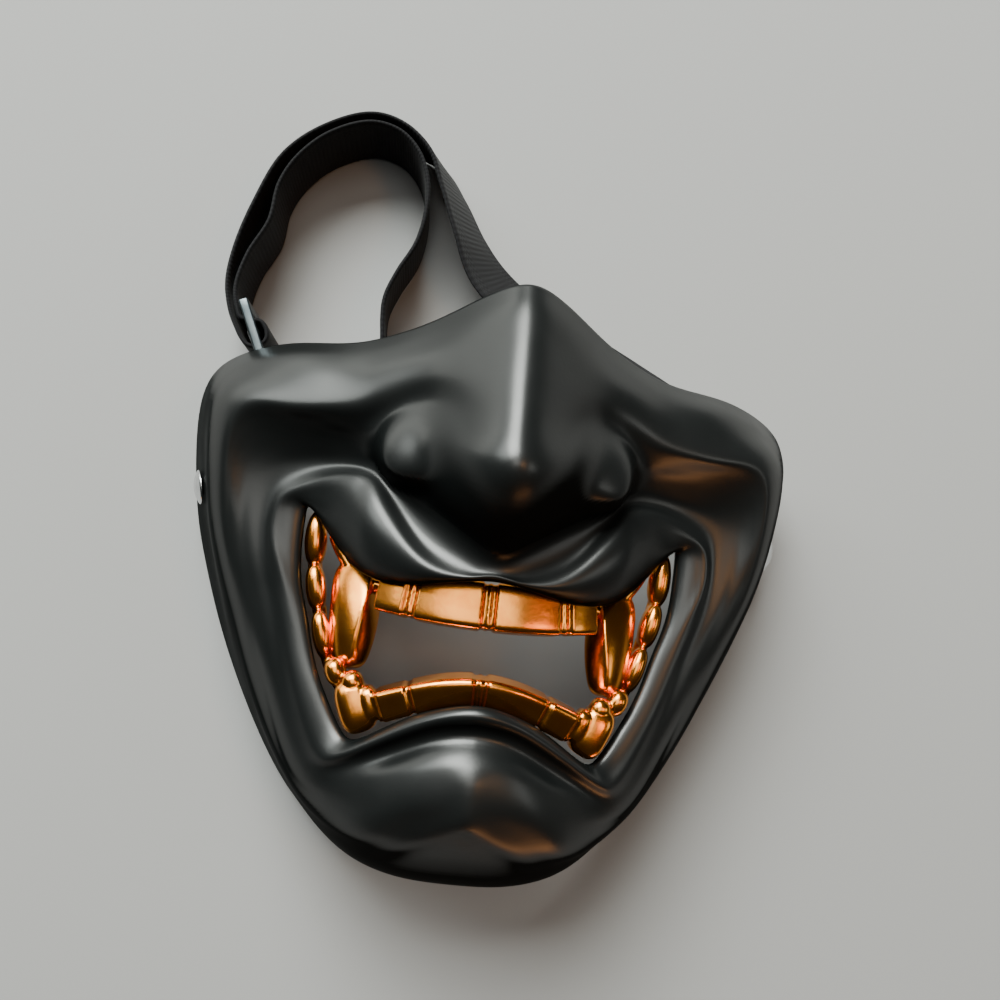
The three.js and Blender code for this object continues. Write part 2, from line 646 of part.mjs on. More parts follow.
function buildFaceGuard() {
  const left = rivetSeat(-1);
  const right = rivetSeat(1);
  const holes = [left, right].map((seat) => rodAlong(seat.centre, seat.normal, RIVET_HOLE, 16, 12));
  const group = new THREE.Group();
  group.add(
    piece('mask_shell', cut(buildShell(), holes), BLACK_PLASTIC),
    piece('upper_teeth', buildTeeth(UPPER_TEETH, UPPER_GUM, 4.4), COPPER_PLATE),
    piece('lower_teeth', buildTeeth(LOWER_TEETH, LOWER_GUM, 4.0), COPPER_PLATE),
    piece('strap_main', buildStrapMain(right), BLACK_ELASTIC),
    piece('strap_anchor', buildStrapAnchor(left), BLACK_ELASTIC),
    piece('slide_buckle', buildSlide(), NICKEL),
    piece('rivet_left', buildRivet(left), NICKEL),
    piece('rivet_right', buildRivet(right), NICKEL),
  );
  moveOriginUnderMiddle(group);
  return group;
}

export default buildFaceGuard();
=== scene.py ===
"""Looks of a samurai face guard: glossy shell, plated teeth, elastic strap, slide and rivets.

Sizes are millimetres in the face frame, whose Y runs 25 mm ahead of the row frame's Y.
Every mesh is placed in the row frame in metres.
"""

from __future__ import annotations

import logging
import math
from dataclasses import dataclass, field
from enum import Enum
from typing import Callable, Sequence

import bmesh
import bpy
import numpy as np
from mathutils import Matrix, Vector

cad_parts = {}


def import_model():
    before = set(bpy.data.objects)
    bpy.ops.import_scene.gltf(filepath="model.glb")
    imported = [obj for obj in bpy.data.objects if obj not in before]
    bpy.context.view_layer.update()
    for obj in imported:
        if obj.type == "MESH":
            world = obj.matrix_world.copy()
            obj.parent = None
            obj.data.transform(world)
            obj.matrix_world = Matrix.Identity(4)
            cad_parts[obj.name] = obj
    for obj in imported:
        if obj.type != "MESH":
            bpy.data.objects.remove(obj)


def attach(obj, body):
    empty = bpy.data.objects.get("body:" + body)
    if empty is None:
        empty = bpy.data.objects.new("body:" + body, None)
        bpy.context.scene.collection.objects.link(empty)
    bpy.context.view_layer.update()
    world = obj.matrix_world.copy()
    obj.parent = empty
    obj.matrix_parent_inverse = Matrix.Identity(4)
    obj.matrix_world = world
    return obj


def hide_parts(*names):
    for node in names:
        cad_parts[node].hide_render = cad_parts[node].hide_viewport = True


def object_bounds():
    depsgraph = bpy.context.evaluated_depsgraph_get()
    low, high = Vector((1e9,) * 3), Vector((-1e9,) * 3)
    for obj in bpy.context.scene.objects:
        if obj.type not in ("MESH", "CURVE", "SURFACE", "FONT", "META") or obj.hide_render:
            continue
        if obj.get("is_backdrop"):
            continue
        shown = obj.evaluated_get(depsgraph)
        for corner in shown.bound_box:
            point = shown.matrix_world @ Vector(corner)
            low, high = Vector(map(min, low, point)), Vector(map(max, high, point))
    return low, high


LOG = logging.getLogger("face_guard")
MM = 0.001
FACE_AHEAD = 25.0
WELD = 1e-6
WALL = 2.8
STRAP_WIDTH = 25.0
STRAP_THICKNESS = 1.3
Triple = tuple[float, float, float]
Placer = Callable[[np.ndarray, np.ndarray], np.ndarray]
Inputs = dict[str | int, object]


class Side(Enum):
    """The wearer's left and right, as X directions."""

    LEFT = -1
    RIGHT = 1


# Curves and directions


def row_frame(points: np.ndarray) -> np.ndarray:
    """Turn face-frame millimetres into row-frame metres."""
    return (np.asarray(points, float) - np.array([0.0, FACE_AHEAD, 0.0])) * MM


def smoothstep(value: np.ndarray, low: float, high: float) -> np.ndarray:
    """Ease from 0 at low to 1 at high."""
    t = np.clip((np.asarray(value, float) - low) / (high - low), 0.0, 1.0)
    return t * t * (3 - 2 * t)


def unit(vectors: np.ndarray) -> np.ndarray:
    """Give vectors, along the last axis, a length of one."""
    return vectors / np.linalg.norm(vectors, axis=-1, keepdims=True)


def squared_off(wave: np.ndarray, power: float) -> np.ndarray:
    """Push a sine or cosine towards -1 and 1, more so the smaller the power is."""
    return np.sign(wave) * np.abs(wave) ** power


def hermite(start: np.ndarray, end: np.ndarray, leave: np.ndarray, arrive: np.ndarray,
            t: np.ndarray | float) -> np.ndarray:
    """Cubic between two values, with a slope given at each end.

    Args:
        start: value at 0.
        end: value at 1.
        leave: slope at 0.
        arrive: slope at 1.
        t: where to read, 0 to 1.

    Returns:
        The values there.
    """
    t2, t3 = t * t, t * t * t
    return (start * (2 * t3 - 3 * t2 + 1) + leave * (t3 - 2 * t2 + t)
            + end * (3 * t2 - 2 * t3) + arrive * (t3 - t2))


def spline(points: Sequence[Sequence[float]], at: np.ndarray) -> np.ndarray:
    """Centripetal curve through points.

    Args:
        points: rows of three numbers, with or without further columns.
        at: places along the curve in 0..1, evenly shared between the points.

    Returns:
        One row for each place.
    """
    p = np.asarray(points, float)
    p = np.vstack([2 * p[0] - p[1], p, 2 * p[-1] - p[-2]])
    spans = len(points) - 1
    place = np.clip(at, 0, 1) * spans
    k = np.minimum(spans - 1, np.floor(place).astype(int))
    a, b, c, d = (p[k + i] for i in range(4))
    gaps = [np.maximum(1e-4, np.linalg.norm((n - m)[:, :3], axis=1, keepdims=True)) ** 0.5
            for m, n in ((a, b), (b, c), (c, d))]
    leave = ((b - a) / gaps[0] - (c - a) / (gaps[0] + gaps[1]) + (c - b) / gaps[1]) * gaps[1]
    arrive = ((c - b) / gaps[1] - (d - b) / (gaps[1] + gaps[2]) + (d - c) / gaps[2]) * gaps[1]
    return hermite(b, c, leave, arrive, (place - k)[:, None])


def heading(points: Sequence[Sequence[float]], at: np.ndarray, step: float = 0.01) -> np.ndarray:
    """Direction of a curve through points at places in 0..1, read over a short step."""
    return unit((spline(points, np.minimum(1, at + step)) - spline(points, np.maximum(0, at - step)))[:, :3])


def both_sides(half: Sequence[Sequence[float]]) -> list[Sequence[float]]:
    """Rows given from the midline to +X, led by their mirror images."""
    return [*((-row[0], *row[1:]) for row in reversed(half) if row[0] > 0), *half]


# Mesh building


def added(name: str, data: bpy.types.ID) -> bpy.types.Object:
    """Put a mesh, light or camera into the scene.

    Args:
        name: name of the object.
        data: what it shows.

    Returns:
        The new object.
    """
    thing = bpy.data.objects.new(name, data)
    bpy.context.scene.collection.objects.link(thing)
    return thing


def added_mesh(name: str, bm: bmesh.types.BMesh) -> bpy.types.Object:
    """Put an edited mesh into the scene and free its working copy.

    Args:
        name: name of the object.
        bm: the edited mesh.

    Returns:
        The new object.
    """
    mesh = bpy.data.meshes.new(name)
    bm.to_mesh(mesh)
    bm.free()
    return added(name, mesh)


def lattice(name: str, columns: int, rows: int, place: Placer,
            uv_size: tuple[float, float] | None = None) -> bpy.types.Object:
    """Make a grid, lay it where place says and weld its seams.

    Args:
        name: object name.
        columns: steps along u.
        rows: steps along v.
        place: gives face-frame points for arrays of u and v in 0..1.
        uv_size: real length and width in metres that the UV map spans, if one is wanted.

    Returns:
        The new object, its normals outward and its faces smooth.
    """
    bm = bmesh.new()
    bmesh.ops.create_grid(bm, x_segments=columns, y_segments=rows, size=0.5)
    if uv_size is not None:
        layer = bm.loops.layers.uv.new("surface")
        for loop in (loop for face in bm.faces for loop in face.loops):
            co = loop.vert.co
            loop[layer].uv = ((co.x + 0.5) * uv_size[0], (co.y + 0.5) * uv_size[1])
    grid = np.array([vert.co for vert in bm.verts], float) + 0.5
    for vert, point in zip(bm.verts, row_frame(place(grid[:, 0], grid[:, 1]))):
        vert.co = point
    bmesh.ops.remove_doubles(bm, verts=bm.verts, dist=WELD)
    bmesh.ops.recalc_face_normals(bm, faces=bm.faces)
    for face in bm.faces:
        face.smooth = True
    return added_mesh(name, bm)


def fused(name: str, parts: Sequence[bpy.types.Object], voxel: float, passes: int) -> bpy.types.Object:
    """Melt several bodies into one moulded skin.

    Args:
        name: name of the object that is made.
        parts: bodies that go in; they are removed.
        voxel: grain of the skin in metres.
        passes: smoothing passes over it.

    Returns:
        The new object.
    """
    bm = bmesh.new()
    for part in parts:
        bm.from_mesh(part.data)
        bpy.data.objects.remove(part)
    thing = added_mesh(name, bm)
    remesh = thing.modifiers.new("skin", "REMESH")
    remesh.mode = "VOXEL"
    remesh.voxel_size = voxel
    remesh.use_smooth_shade = True
    smooth = thing.modifiers.new("polish", "SMOOTH")
    smooth.factor = 0.5
    smooth.iterations = passes
    graph = bpy.context.evaluated_depsgraph_get()
    mesh = bpy.data.meshes.new_from_object(thing.evaluated_get(graph))
    thing.modifiers.clear()
    thing.data = mesh
    for face in mesh.polygons:
        face.use_smooth = True
    return thing


def settle(thing: bpy.types.Object, node: str) -> bpy.types.Object:
    """Fix a piece to the part's body and let it stand for its plain node.

    Args:
        thing: the dressed piece.
        node: the plain node that it replaces.

    Returns:
        The same piece.
    """
    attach(thing, "root")
    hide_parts(node)
    LOG.info("%s stands for %s, %d faces", thing.name, node, len(thing.data.polygons))
    return thing


# Finishes


class Graph:
    """A new material whose nodes are added and wired a call at a time."""

    def __init__(self, name: str) -> None:
        """Start the material from its principled shader."""
        self.material = bpy.data.materials.new(name)
        self.material.use_nodes = True
        self.tree = self.material.node_tree

    def feed(self, node: bpy.types.Node, inputs: Inputs) -> None:
        """Set a node's inputs.

        Args:
            node: the node.
            inputs: for each input, by name or number, its value or the socket that drives it.
        """
        for key, value in inputs.items():
            if isinstance(value, bpy.types.NodeSocket):
                self.tree.links.new(value, node.inputs[key])
            else:
                node.inputs[key].default_value = value

    def add(self, kind: str, output: str | int, inputs: Inputs, **options: str) -> bpy.types.NodeSocket:
        """Add a node.

        Args:
            kind: node type.
            output: the output that is wanted, by name or number.
            inputs: as for feed.
            options: settings of the node itself.

        Returns:
            The output's socket.
        """
        node = self.tree.nodes.new(kind)
        for option, choice in options.items():
            setattr(node, option, choice)
        self.feed(node, inputs)
        return node.outputs[output]

    def object_place(self) -> bpy.types.NodeSocket:
        """Place on the object, in its own coordinates."""
        return self.add("ShaderNodeTexCoord", "Object", {})

    def cloud(self, place: bpy.types.NodeSocket, scale: float, detail: float) -> bpy.types.NodeSocket:
        """Soft noise of a given scale and detail."""
        return self.add("ShaderNodeTexNoise", "Fac", {"Vector": place, "Scale": scale, "Detail": detail})

    def math(self, operation: str, *values: float | bpy.types.NodeSocket) -> bpy.types.NodeSocket:
        """Result of a sum on numbers and sockets."""
        return self.add("ShaderNodeMath", "Value", dict(enumerate(values)), operation=operation)

    def spread(self, value: bpy.types.NodeSocket, before: tuple[float, float],
               after: tuple[float, float]) -> bpy.types.NodeSocket:
        """Turn one range of a value into another."""
        ends = {"From Min": before[0], "From Max": before[1], "To Min": after[0], "To Max": after[1]}
        return self.add("ShaderNodeMapRange", "Result", {"Value": value, **ends})

    def bump(self, height: bpy.types.NodeSocket, strength: float, distance: float) -> bpy.types.NodeSocket:
        """Normal of a surface that a height roughens, distance in metres."""
        return self.add("ShaderNodeBump", "Normal",
                        {"Height": height, "Strength": strength, "Distance": distance})

    def shaded(self, inputs: Inputs) -> bpy.types.Material:
        """Feed the principled shader and give the finished material."""
        self.feed(self.tree.nodes["Principled BSDF"], inputs)
        return self.material


@dataclass(frozen=True)
class Plastic:
    """Moulded black plastic, faintly uneven, reflecting as strongly as the mesh's own attribute says, which
    paints shade and a reflection spot into its reflection.
    """

    name: str = "black_plastic"
    colour: Triple = (0.006, 0.007, 0.007)
    roughness: float = 0.33
    unevenness: float = 0.04
    patch_scale: float = 55.0
    patch_range: tuple[float, float] = (0.3, 0.7)
    skin_scale: float = 900.0
    skin_strength: float = 0.05
    skin_depth: float = 0.0002

    def make(self) -> bpy.types.Material:
        """Build the material.

        Returns:
            The material.
        """
        graph = Graph(self.name)
        place = graph.object_place()
        patches = graph.cloud(place, self.patch_scale, 4.0)
        ends = (self.roughness - self.unevenness, self.roughness + self.unevenness)
        skin = graph.cloud(place, self.skin_scale, 2.0)
        return graph.shaded({
            "Base Color": (*self.colour, 1.0),
            "Roughness": graph.spread(patches, self.patch_range, ends),
            "Normal": graph.bump(skin, self.skin_strength, self.skin_depth),
            # The polish attribute holds painted shade (faces turned from the window barely reflect) and a
            # painted reflection spot on one cheek.
            "Specular IOR Level": graph.add("ShaderNodeAttribute", "Fac", {}, attribute_name="polish"),
        })


@dataclass(frozen=True)
class Plating:
    """Metal plating over a moulded or stamped part."""

    name: str
    colour: Triple
    deep: Triple
    roughness: float
    grain: float = 260.0
    grain_range: tuple[float, float] = (0.35, 0.6)
    ripple: float = 0.12
    ripple_depth: float = 0.0004

    def make(self) -> bpy.types.Material:
        """Build the material.

        Returns:
            The material.
        """
        graph = Graph(self.name)
        cloud = graph.cloud(graph.object_place(), self.grain, 3.0)
        mix_factor, mix_from, mix_to, mixed = 0, 6, 7, 2
        tint = graph.add("ShaderNodeMix", mixed, {
            mix_factor: graph.spread(cloud, self.grain_range, (0.0, 1.0)),
            mix_from: (*self.deep, 1.0),
            mix_to: (*self.colour, 1.0),
        }, data_type="RGBA")
        return graph.shaded({
            "Base Color": tint,
            "Normal": graph.bump(cloud, self.ripple, self.ripple_depth),
            "Metallic": 1.0,
            "Roughness": self.roughness,
        })


@dataclass(frozen=True)
class Webbing:
    """Black woven elastic: ribs across it, crossed by threads along it. Its colour is darkened in the weave's
    hollows, as painted shade, and lightened on its ribs, as painted light.
    """

    name: str = "black_elastic"
    colour: Triple = (0.006, 0.006, 0.007)
    rib: float = 0.0012
    thread: float = 0.0019
    crossing: float = 0.35
    relief: float = 0.35
    depth: float = 0.0002
    painted_light_range: tuple[float, float] = (0.8, 1.5)
    roughness: float = 0.75
    specular: float = 0.18
    sheen: float = 0.04
    sheen_roughness: float = 0.45

    def make(self) -> bpy.types.Material:
        """Build the material.

        Returns:
            The material.
        """
        graph = Graph(self.name)
        place = graph.add("ShaderNodeUVMap", "UV", {}, uv_map="surface")
        axes = graph.add("ShaderNodeSeparateXYZ", "X", {"Vector": place}).node.outputs
        ribs, threads = (graph.math("SINE", graph.math("MULTIPLY", axes[axis], 2 * math.pi / pitch))
                         for axis, pitch in (("X", self.rib), ("Y", self.thread)))
        crossed = graph.math("MULTIPLY_ADD", threads, self.crossing, 1 - self.crossing)
        weave = graph.math("MULTIPLY", ribs, crossed)
        # Colour follows the weave's relief: painted shade in its hollows, painted light on its ribs.
        shade = graph.spread(weave, (-1.0, 1.0), self.painted_light_range)
        return graph.shaded({
            "Base Color": graph.add("ShaderNodeVectorMath", "Vector", {0: self.colour, "Scale": shade},
                                    operation="SCALE"),
            "Normal": graph.bump(weave, self.relief, self.depth),
            "Roughness": self.roughness,
            "Specular IOR Level": self.specular,
            "Sheen Weight": self.sheen,
            "Sheen Roughness": self.sheen_roughness,
        })


@dataclass(frozen=True)
class Floor:
    """Plain pale matt floor."""

    name: str = "pale_floor"
    colour: Triple = (0.36, 0.36, 0.36)
    roughness: float = 0.9
    specular: float = 0.2

    def make(self) -> bpy.types.Material:
        """Build the material."""
        return Graph(self.name).shaded({"Base Color": (*self.colour, 1.0), "Roughness": self.roughness,
                                        "Specular IOR Level": self.specular})


# Face


@dataclass(frozen=True)
class Ring:
    """One feature line of the face, given at the fourteen stations of one side."""

    name: str
    x: tuple[float, ...]
    y: tuple[float, ...]
    z: tuple[float, ...]


# Stations: 0 mid top, 1 septum, 2 nostril, 3 wing, 4 lip peak, 5 lip outer, 6 mouth corner,
# 7 side high, 8 side mid, 9 side low, 10 lip corner, 11 chin side, 12 chin near, 13 mid low.
RINGS = (
    Ring("lip back",
         x=(0, 9, 20, 29, 36, 43, 48.6, 48.5, 44.8, 40.3, 30.5, 17.5, 8, 0),
         y=(2.4, 1.0, -1.2, -0.8, 3.2, 10, 17, -0.6, -12.8, -26.2, -42.4, -34.2, -30.2, -28.6),
         z=(57.4, 57, 53.6, 49, 45, 41.5, 38.5, 38.5, 40, 42.5, 47, 54, 58, 59.8)),
    Ring("lip edge",
         x=(0, 9.5, 21, 30, 36.5, 42, 48, 47.5, 43.8, 39.5, 29.8, 17, 8, 0),
         y=(1.2, -0.2, -2.4, -2, 1.8, 8.5, 15.5, -1, -13, -26, -41.2, -32.8, -28.9, -27.4),
         z=(61, 60.5, 57, 52.5, 48.5, 45, 42, 42.5, 44, 46.5, 51, 58, 62, 63.5)),
    Ring("lip crest",
         x=(0, 9, 18.5, 29.5, 35, 45, 54.5, 55, 50, 44.5, 35.5, 18, 8.5, 0),
         y=(2.6, 1.2, 4.0, 16.5, 23.6, 22.4, 17, 2, -12.5, -29, -46.5, -36, -31.5, -30),
         z=(64.5, 64.8, 64, 59, 53, 47, 43.5, 43.5, 44.5, 47, 51.5, 60.5, 64.5, 66)),
    Ring("lip groove",
         x=(0, 8, 18.5, 26.5, 33.2, 46, 57.5, 58, 53, 47.5, 37.5, 19.5, 9, 0),
         y=(3.6, 3.0, 8, 17.8, 25.2, 24.8, 19, 3, -12, -30, -49, -41.5, -36.8, -35.2),
         z=(64.0, 62.6, 59.2, 54.9, 49.5, 44.5, 42, 42, 42.8, 44.5, 48.5, 56, 60, 61.2)),
    Ring("nose base",
         x=(0, 7.0, 17, 25.5, 33.5, 48, 61, 61, 56, 50, 39.5, 20.5, 9.5, 0),
         y=(6.5, 10.5, 16.8, 21.5, 27.5, 27, 21.5, 4, -11.5, -30.5, -51.5, -46, -42, -40.5),
         z=(64.6, 63.2, 59.1, 54.9, 49.5, 44.0, 42.0, 41.8, 42, 43, 46, 58.2, 63.5, 64.9)),
    Ring("nostril rim",
         x=(0, 8, 18.5, 28, 34.5, 49.5, 64, 63.5, 58.5, 52, 41, 21.5, 10, 0),
         y=(13, 15.5, 22.5, 26.5, 29.5, 30, 25, 6, -11, -31.5, -53.5, -50.5, -46.5, -45.5),
         z=(77, 76, 68.5, 60, 50, 45.8, 42.6, 41.5, 41, 41, 43.5, 58.6, 64.2, 65.9)),
    Ring("nose crest",
         x=(0, 9, 19.5, 29, 35.5, 50.5, 66, 65.8, 61, 53.5, 42, 23, 11, 0),
         y=(25.5, 26, 31.5, 33.5, 32.5, 33, 29, 8, -10, -32.5, -55, -55, -51.5, -51),
         z=(90.5, 85, 71.5, 63, 51.6, 48.0, 44.0, 41.5, 40, 38.5, 40.5, 57.6, 63.7, 65.6)),
    Ring("wing crease",
         x=(0, 9.5, 20.5, 29.5, 37, 51.5, 67.5, 67.5, 63, 55.5, 43, 25, 12, 0),
         y=(37, 38, 41, 38.5, 35.5, 35.5, 33, 10, -9, -33.5, -56.5, -59, -56, -55.5),
         z=(87, 79.5, 64, 58, 54.2, 50.2, 45.8, 41.5, 39, 35.5, 37, 55.5, 61.5, 63.8)),
    Ring("cheek edge",
         x=(0, 10, 21, 30.5, 38.5, 52.5, 69, 69.5, 65, 57.5, 44, 27, 13, 0),
         y=(47, 46.5, 46.5, 42.5, 39.5, 38, 37, 12, -8, -34, -57.5, -62.5, -60.5, -59.5),
         z=(83, 76.5, 66, 60.4, 57.2, 53.2, 47.4, 41.5, 37.5, 31.5, 32, 52, 58.5, 61)),
    Ring("cheek crest",
         x=(0, 10, 21, 31.5, 40, 54.5, 72, 72, 68, 59.5, 45, 29, 14.5, 0),
         y=(57, 55.5, 52, 48.5, 45.5, 43, 40, 14, -6.5, -34, -58.5, -66, -66.5, -66),
         z=(79, 73, 65, 59.4, 55.6, 51.6, 45.0, 40, 34, 25, 25, 44, 51.5, 54)),
    Ring("flange mid",
         x=(0, 9.5, 21, 32, 41.5, 59, 79, 78.5, 73.5, 63.8, 47.8, 31.5, 16.5, 0),
         y=(65, 63, 58, 54.5, 52, 51, 44.5, 17.5, -4.5, -32.8, -59, -71, -76, -76.5),
         z=(75.5, 70.5, 61.5, 55.6, 51.5, 46.0, 31.0, 22, 18, 12.5, 13.5, 30, 35, 37)),
    Ring("rim",
         x=(0, 9, 21.5, 32, 43, 63.2, 84, 85.9, 80.0, 68.5, 51.5, 34.5, 17.5, 0),
         y=(71.3, 69, 63.3, 59.6, 57.3, 56.5, 48.5, 20, -3, -31, -59.5, -72.5, -78.2, -79.6),
         z=(72, 67.5, 57.5, 51, 45.5, 36, 16, 1.2, 0, 0, 1.5, 12, 18, 20)),
)

# How sharply the section bends at each ring: above the mouth, beside it and below it
BEND = (
    (0.0, 0.0, 0.0), (0.3, 0.3, 0.3), (0.3, 0.4, 0.2), (0.3, 0.3, 0.3), (0.4, 0.0, 0.2), (0.3, 0.0, 0.0),
    (0.0, 0.0, 0.0), (0.4, 0.0, 0.0), (0.5, 0.0, 0.0), (0.0, 0.0, 0.5), (0.0, 0.0, 0.0), (0.0, 0.0, 0.0),
)

# The back of the lips: how far each lip ring's inner face lies out from the mouth, and down
LIP_INSET = ((3.0, 0.0), (3.2, 1.0), (1.5, 4.0), (0.4, 3.2))

# How far the rings nearest the mouth straighten at its two corners
CORNER_HOLD = (0.75, 0.75, 0.75, 0.4)

LAST_STATION = 13
MOUTH_CORNERS = [6, 10]
SIDE_STARTS, SIDE_SPAN = 5.0, 2.0
CHIN_STARTS, CHIN_SPAN = 9.5, 1.5
LIP_EDGE, LIP_GROOVE = 1, 3
STEPS_PER_SPAN = 6
LARGEST_EXPONENT = 20


@dataclass(frozen=True)
class Relief:
    """A groove, ridge or pit laid along a line on both sides of the face."""

    name: str
    line: tuple[Triple, ...]
    radius: float
    height: float
    taper_start: float = 0.0
    taper_end: float = 0.0

    def lift(self, points: np.ndarray) -> np.ndarray:
        """Work out how far each point is raised.

        Args:
            points: face-frame points, last axis x, y, z.

        Returns:
            Height in millimetres, one for each point.
        """
        flat = points.reshape(-1, 3)
        folded = np.column_stack([np.abs(flat[:, 0]), flat[:, 1:]])
        course = spline(self.line, np.linspace(0, 1, STEPS_PER_SPAN * (len(self.line) - 1) + 1))
        nearest = np.full(len(folded), np.inf)
        reach = np.zeros(len(folded))
        for k, (start, end) in enumerate(zip(course[:-1], course[1:])):
            run = end - start
            along = np.clip((folded - start) @ run / max(1e-9, run @ run), 0, 1)
            off = np.sum((folded - start - along[:, None] * run) ** 2, axis=1)
            closer = off < nearest
            nearest = np.where(closer, off, nearest)
            reach = np.where(closer, (k + along) / (len(course) - 1), reach)
        strength = np.ones(len(folded))
        for taper, distance in ((self.taper_start, reach), (self.taper_end, 1 - reach)):
            if taper:
                strength = strength * smoothstep(distance, 0, taper)
        return (self.height * strength * np.exp(-nearest / self.radius ** 2)).reshape(points.shape[:-1])


@dataclass(frozen=True)
class Lobe:
    """A flattened swelling that stands out of the face on both sides, such as a nose wing.

    Its axis leans by lean (degrees towards +X and +Y), and turn swings its longest radius round the axis.
    The crease is soft by blend: first its width on the side of the midline, then on the far side.
    """

    centre: Triple
    radii: Triple
    lean: tuple[float, float]
    turn: float
    blend: tuple[float, float]
    blend_ends: float = 0.2
    fade: float = 0.3

    def raised(self, face: np.ndarray) -> np.ndarray:
        """Lift the points under the lobe on to it, with a soft crease round it.

        Args:
            face: grid of face-frame points.

        Returns:
            The grid with the lobe on it.
        """
        axis = unit(np.array([*np.tan(np.radians(self.lean)), 1.0]))
        turn = math.radians(self.turn)
        along = np.array([math.cos(turn), math.sin(turn), 0.0])
        along = unit(along - axis * (along @ axis))
        frame = np.stack([along, np.cross(axis, along), axis]) / np.array(self.radii)[:, None]
        x = np.abs(face[..., 0]) - self.centre[0]
        y = face[..., 1] - self.centre[1]
        rise = frame[:, 2]
        flat = x[..., None] * frame[:, 0] + y[..., None] * frame[:, 1]
        half = flat @ rise
        inside = half ** 2 - (rise @ rise) * (np.sum(flat ** 2, axis=-1) - 1)
        top = self.centre[2] + (np.sqrt(np.clip(inside, 0, None)) - half) / (rise @ rise)
        near, far = self.blend
        blend = near + (far - near) * smoothstep(x, -self.radii[1], self.blend_ends * self.radii[0])
        over = np.clip((top - face[..., 2]) / blend, -LARGEST_EXPONENT, LARGEST_EXPONENT)
        lifted = face.copy()
        lifted[..., 2] += blend * np.log1p(np.exp(over)) * smoothstep(inside / (rise @ rise), 0, self.fade)
        return lifted


@dataclass(frozen=True)
class Softening:
    """A place where the face is evened out, given as a line and a radius."""

    line: tuple[Triple, ...]
    radius: float
    passes: int
    plateau: float = 1.3
    strength: float = 0.8

    def apply(self, face: np.ndarray) -> np.ndarray:
        """Even out the face near the line.

        Args:
            face: grid of face-frame points.

        Returns:
            The evened grid.
        """
        reach = Relief("reach", self.line, self.radius, 1.0).lift(face)
        weight = np.clip(reach * self.plateau, 0, 1)[..., None]
        for _ in range(self.passes):
            face = face + weight * self.strength * (0.25 * four_neighbours(face) - face)
        return face


SOFTENINGS = (
    Softening(((22, 30, 67), (26, 33, 63)), 8.0, 60),
    Softening(((33, 21, 53), (27, 13, 58.5), (18.5, 5.5, 62), (9, 2.5, 63.8)), 3.0, 9),
)
LOBES = (
    Lobe((21.8, 31.0, 62.0), (11.8, 10.8, 5.6), (25.0, 21.0), 35.0, (3.2, 0.9)),
)
BLENDINGS = (
    Softening(((20, 28, 68), (24, 33, 67)), 10.0, 10),
)
RELIEFS = (
    Relief("lip fold", ((35.2, 23.6, 51.5), (43, 21.9, 47.9), (50.2, 18.8, 44.7), (55.0, 15.6, 43.1),
                        (56.2, 10.3, 42.8), (55.5, 5.3, 43.0), (53.6, 0.4, 43.5), (50.6, -6.8, 44.0),
                        (46.5, -18, 45.5)), 1.1, 0.45, taper_start=0.15, taper_end=0.3),
    Relief("nostril", ((18.5, 21.6, 63.0), (24.0, 23.4, 60.0)), 2.4, -0.9),
    Relief("chin ridge", ((0, -40, 63.6), (0, -46, 65.2), (0, -54, 64.5)), 3.8, 0.7, taper_start=0.5),
    Relief("chin edge", ((0, -54, 64.4), (8, -58.6, 61.0), (15, -64, 55.0), (21, -69, 45.3)), 3.2, 0.55,
           taper_end=0.4),
    Relief("under lip", ((0, -34, 62.5), (9, -35.5, 61), (18, -41, 57.4), (27, -47, 53)), 2.6, -0.7,
           taper_end=0.3),
)


def padded(face: np.ndarray) -> np.ndarray:
    """Repeat the first and the last row of a grid."""
    return np.concatenate([face[:, :1], face, face[:, -1:]], axis=1)


def four_neighbours(face: np.ndarray) -> np.ndarray:
    """Sum of the four neighbours of each point of a grid that closes round its first axis."""
    rows = padded(face)
    return np.roll(face, 1, axis=0) + np.roll(face, -1, axis=0) + rows[:, 2:] + rows[:, :-2]


def station_of(around: np.ndarray) -> np.ndarray:
    """Fold places 0..26 round the mouth on to the stations of one side."""
    return np.where(around > LAST_STATION, 2 * LAST_STATION - around, around)


def read_column(column: Sequence[float], station: np.ndarray, odd: bool, hold: float) -> np.ndarray:
    """Read one column of a ring at any station.

    Args:
        column: the ring's values at the stations.
        station: where to read, 0 to 13.
        odd: whether the value changes sign across the midline.
        hold: how far the curve straightens at the two mouth corners.

    Returns:
        One value for each place.
    """
    sign = -1.0 if odd else 1.0
    listed = np.array([sign * column[1], *column, sign * column[-2]])
    k = np.minimum(LAST_STATION - 1, np.floor(station).astype(int))
    kept = np.ones(LAST_STATION + 1)
    kept[MOUTH_CORNERS] = 1 - hold
    leave = 0.5 * (listed[k + 2] - listed[k]) * kept[k]
    arrive = 0.5 * (listed[k + 3] - listed[k + 1]) * kept[k + 1]
    return hermite(listed[k + 1], listed[k + 2], leave, arrive, station - k)


def ring_points(index: int, around: np.ndarray) -> np.ndarray:
    """Lay one ring.

    Args:
        index: which ring.
        around: places 0..26 round the mouth.

    Returns:
        One face-frame point for each place.
    """
    station, ring = station_of(around), RINGS[index]
    hold = CORNER_HOLD[index] if index < len(CORNER_HOLD) else 0.0
    x = read_column(ring.x, station, True, hold)
    y = read_column(ring.y, station, False, hold)
    z = read_column(ring.z, station, False, 0.0)
    return np.stack([np.where(around > LAST_STATION, -x, x), y, z], axis=-1)


def sharpness(index: int, around: np.ndarray) -> np.ndarray:
    """Read how sharply the section bends at a ring.

    Args:
        index: which ring.
        around: places 0..26 round the mouth.

    Returns:
        Sharpness, blended between the regions above, beside and below the mouth.
    """
    station = station_of(around)
    to_side = np.clip((station - SIDE_STARTS) / SIDE_SPAN, 0, 1)
    to_chin = np.clip((station - CHIN_STARTS) / CHIN_SPAN, 0, 1)
    above, beside, below = BEND[index]
    return ((above * (1 - to_side) + beside * to_side) * (1 - to_chin) + below * to_chin)[:, None]


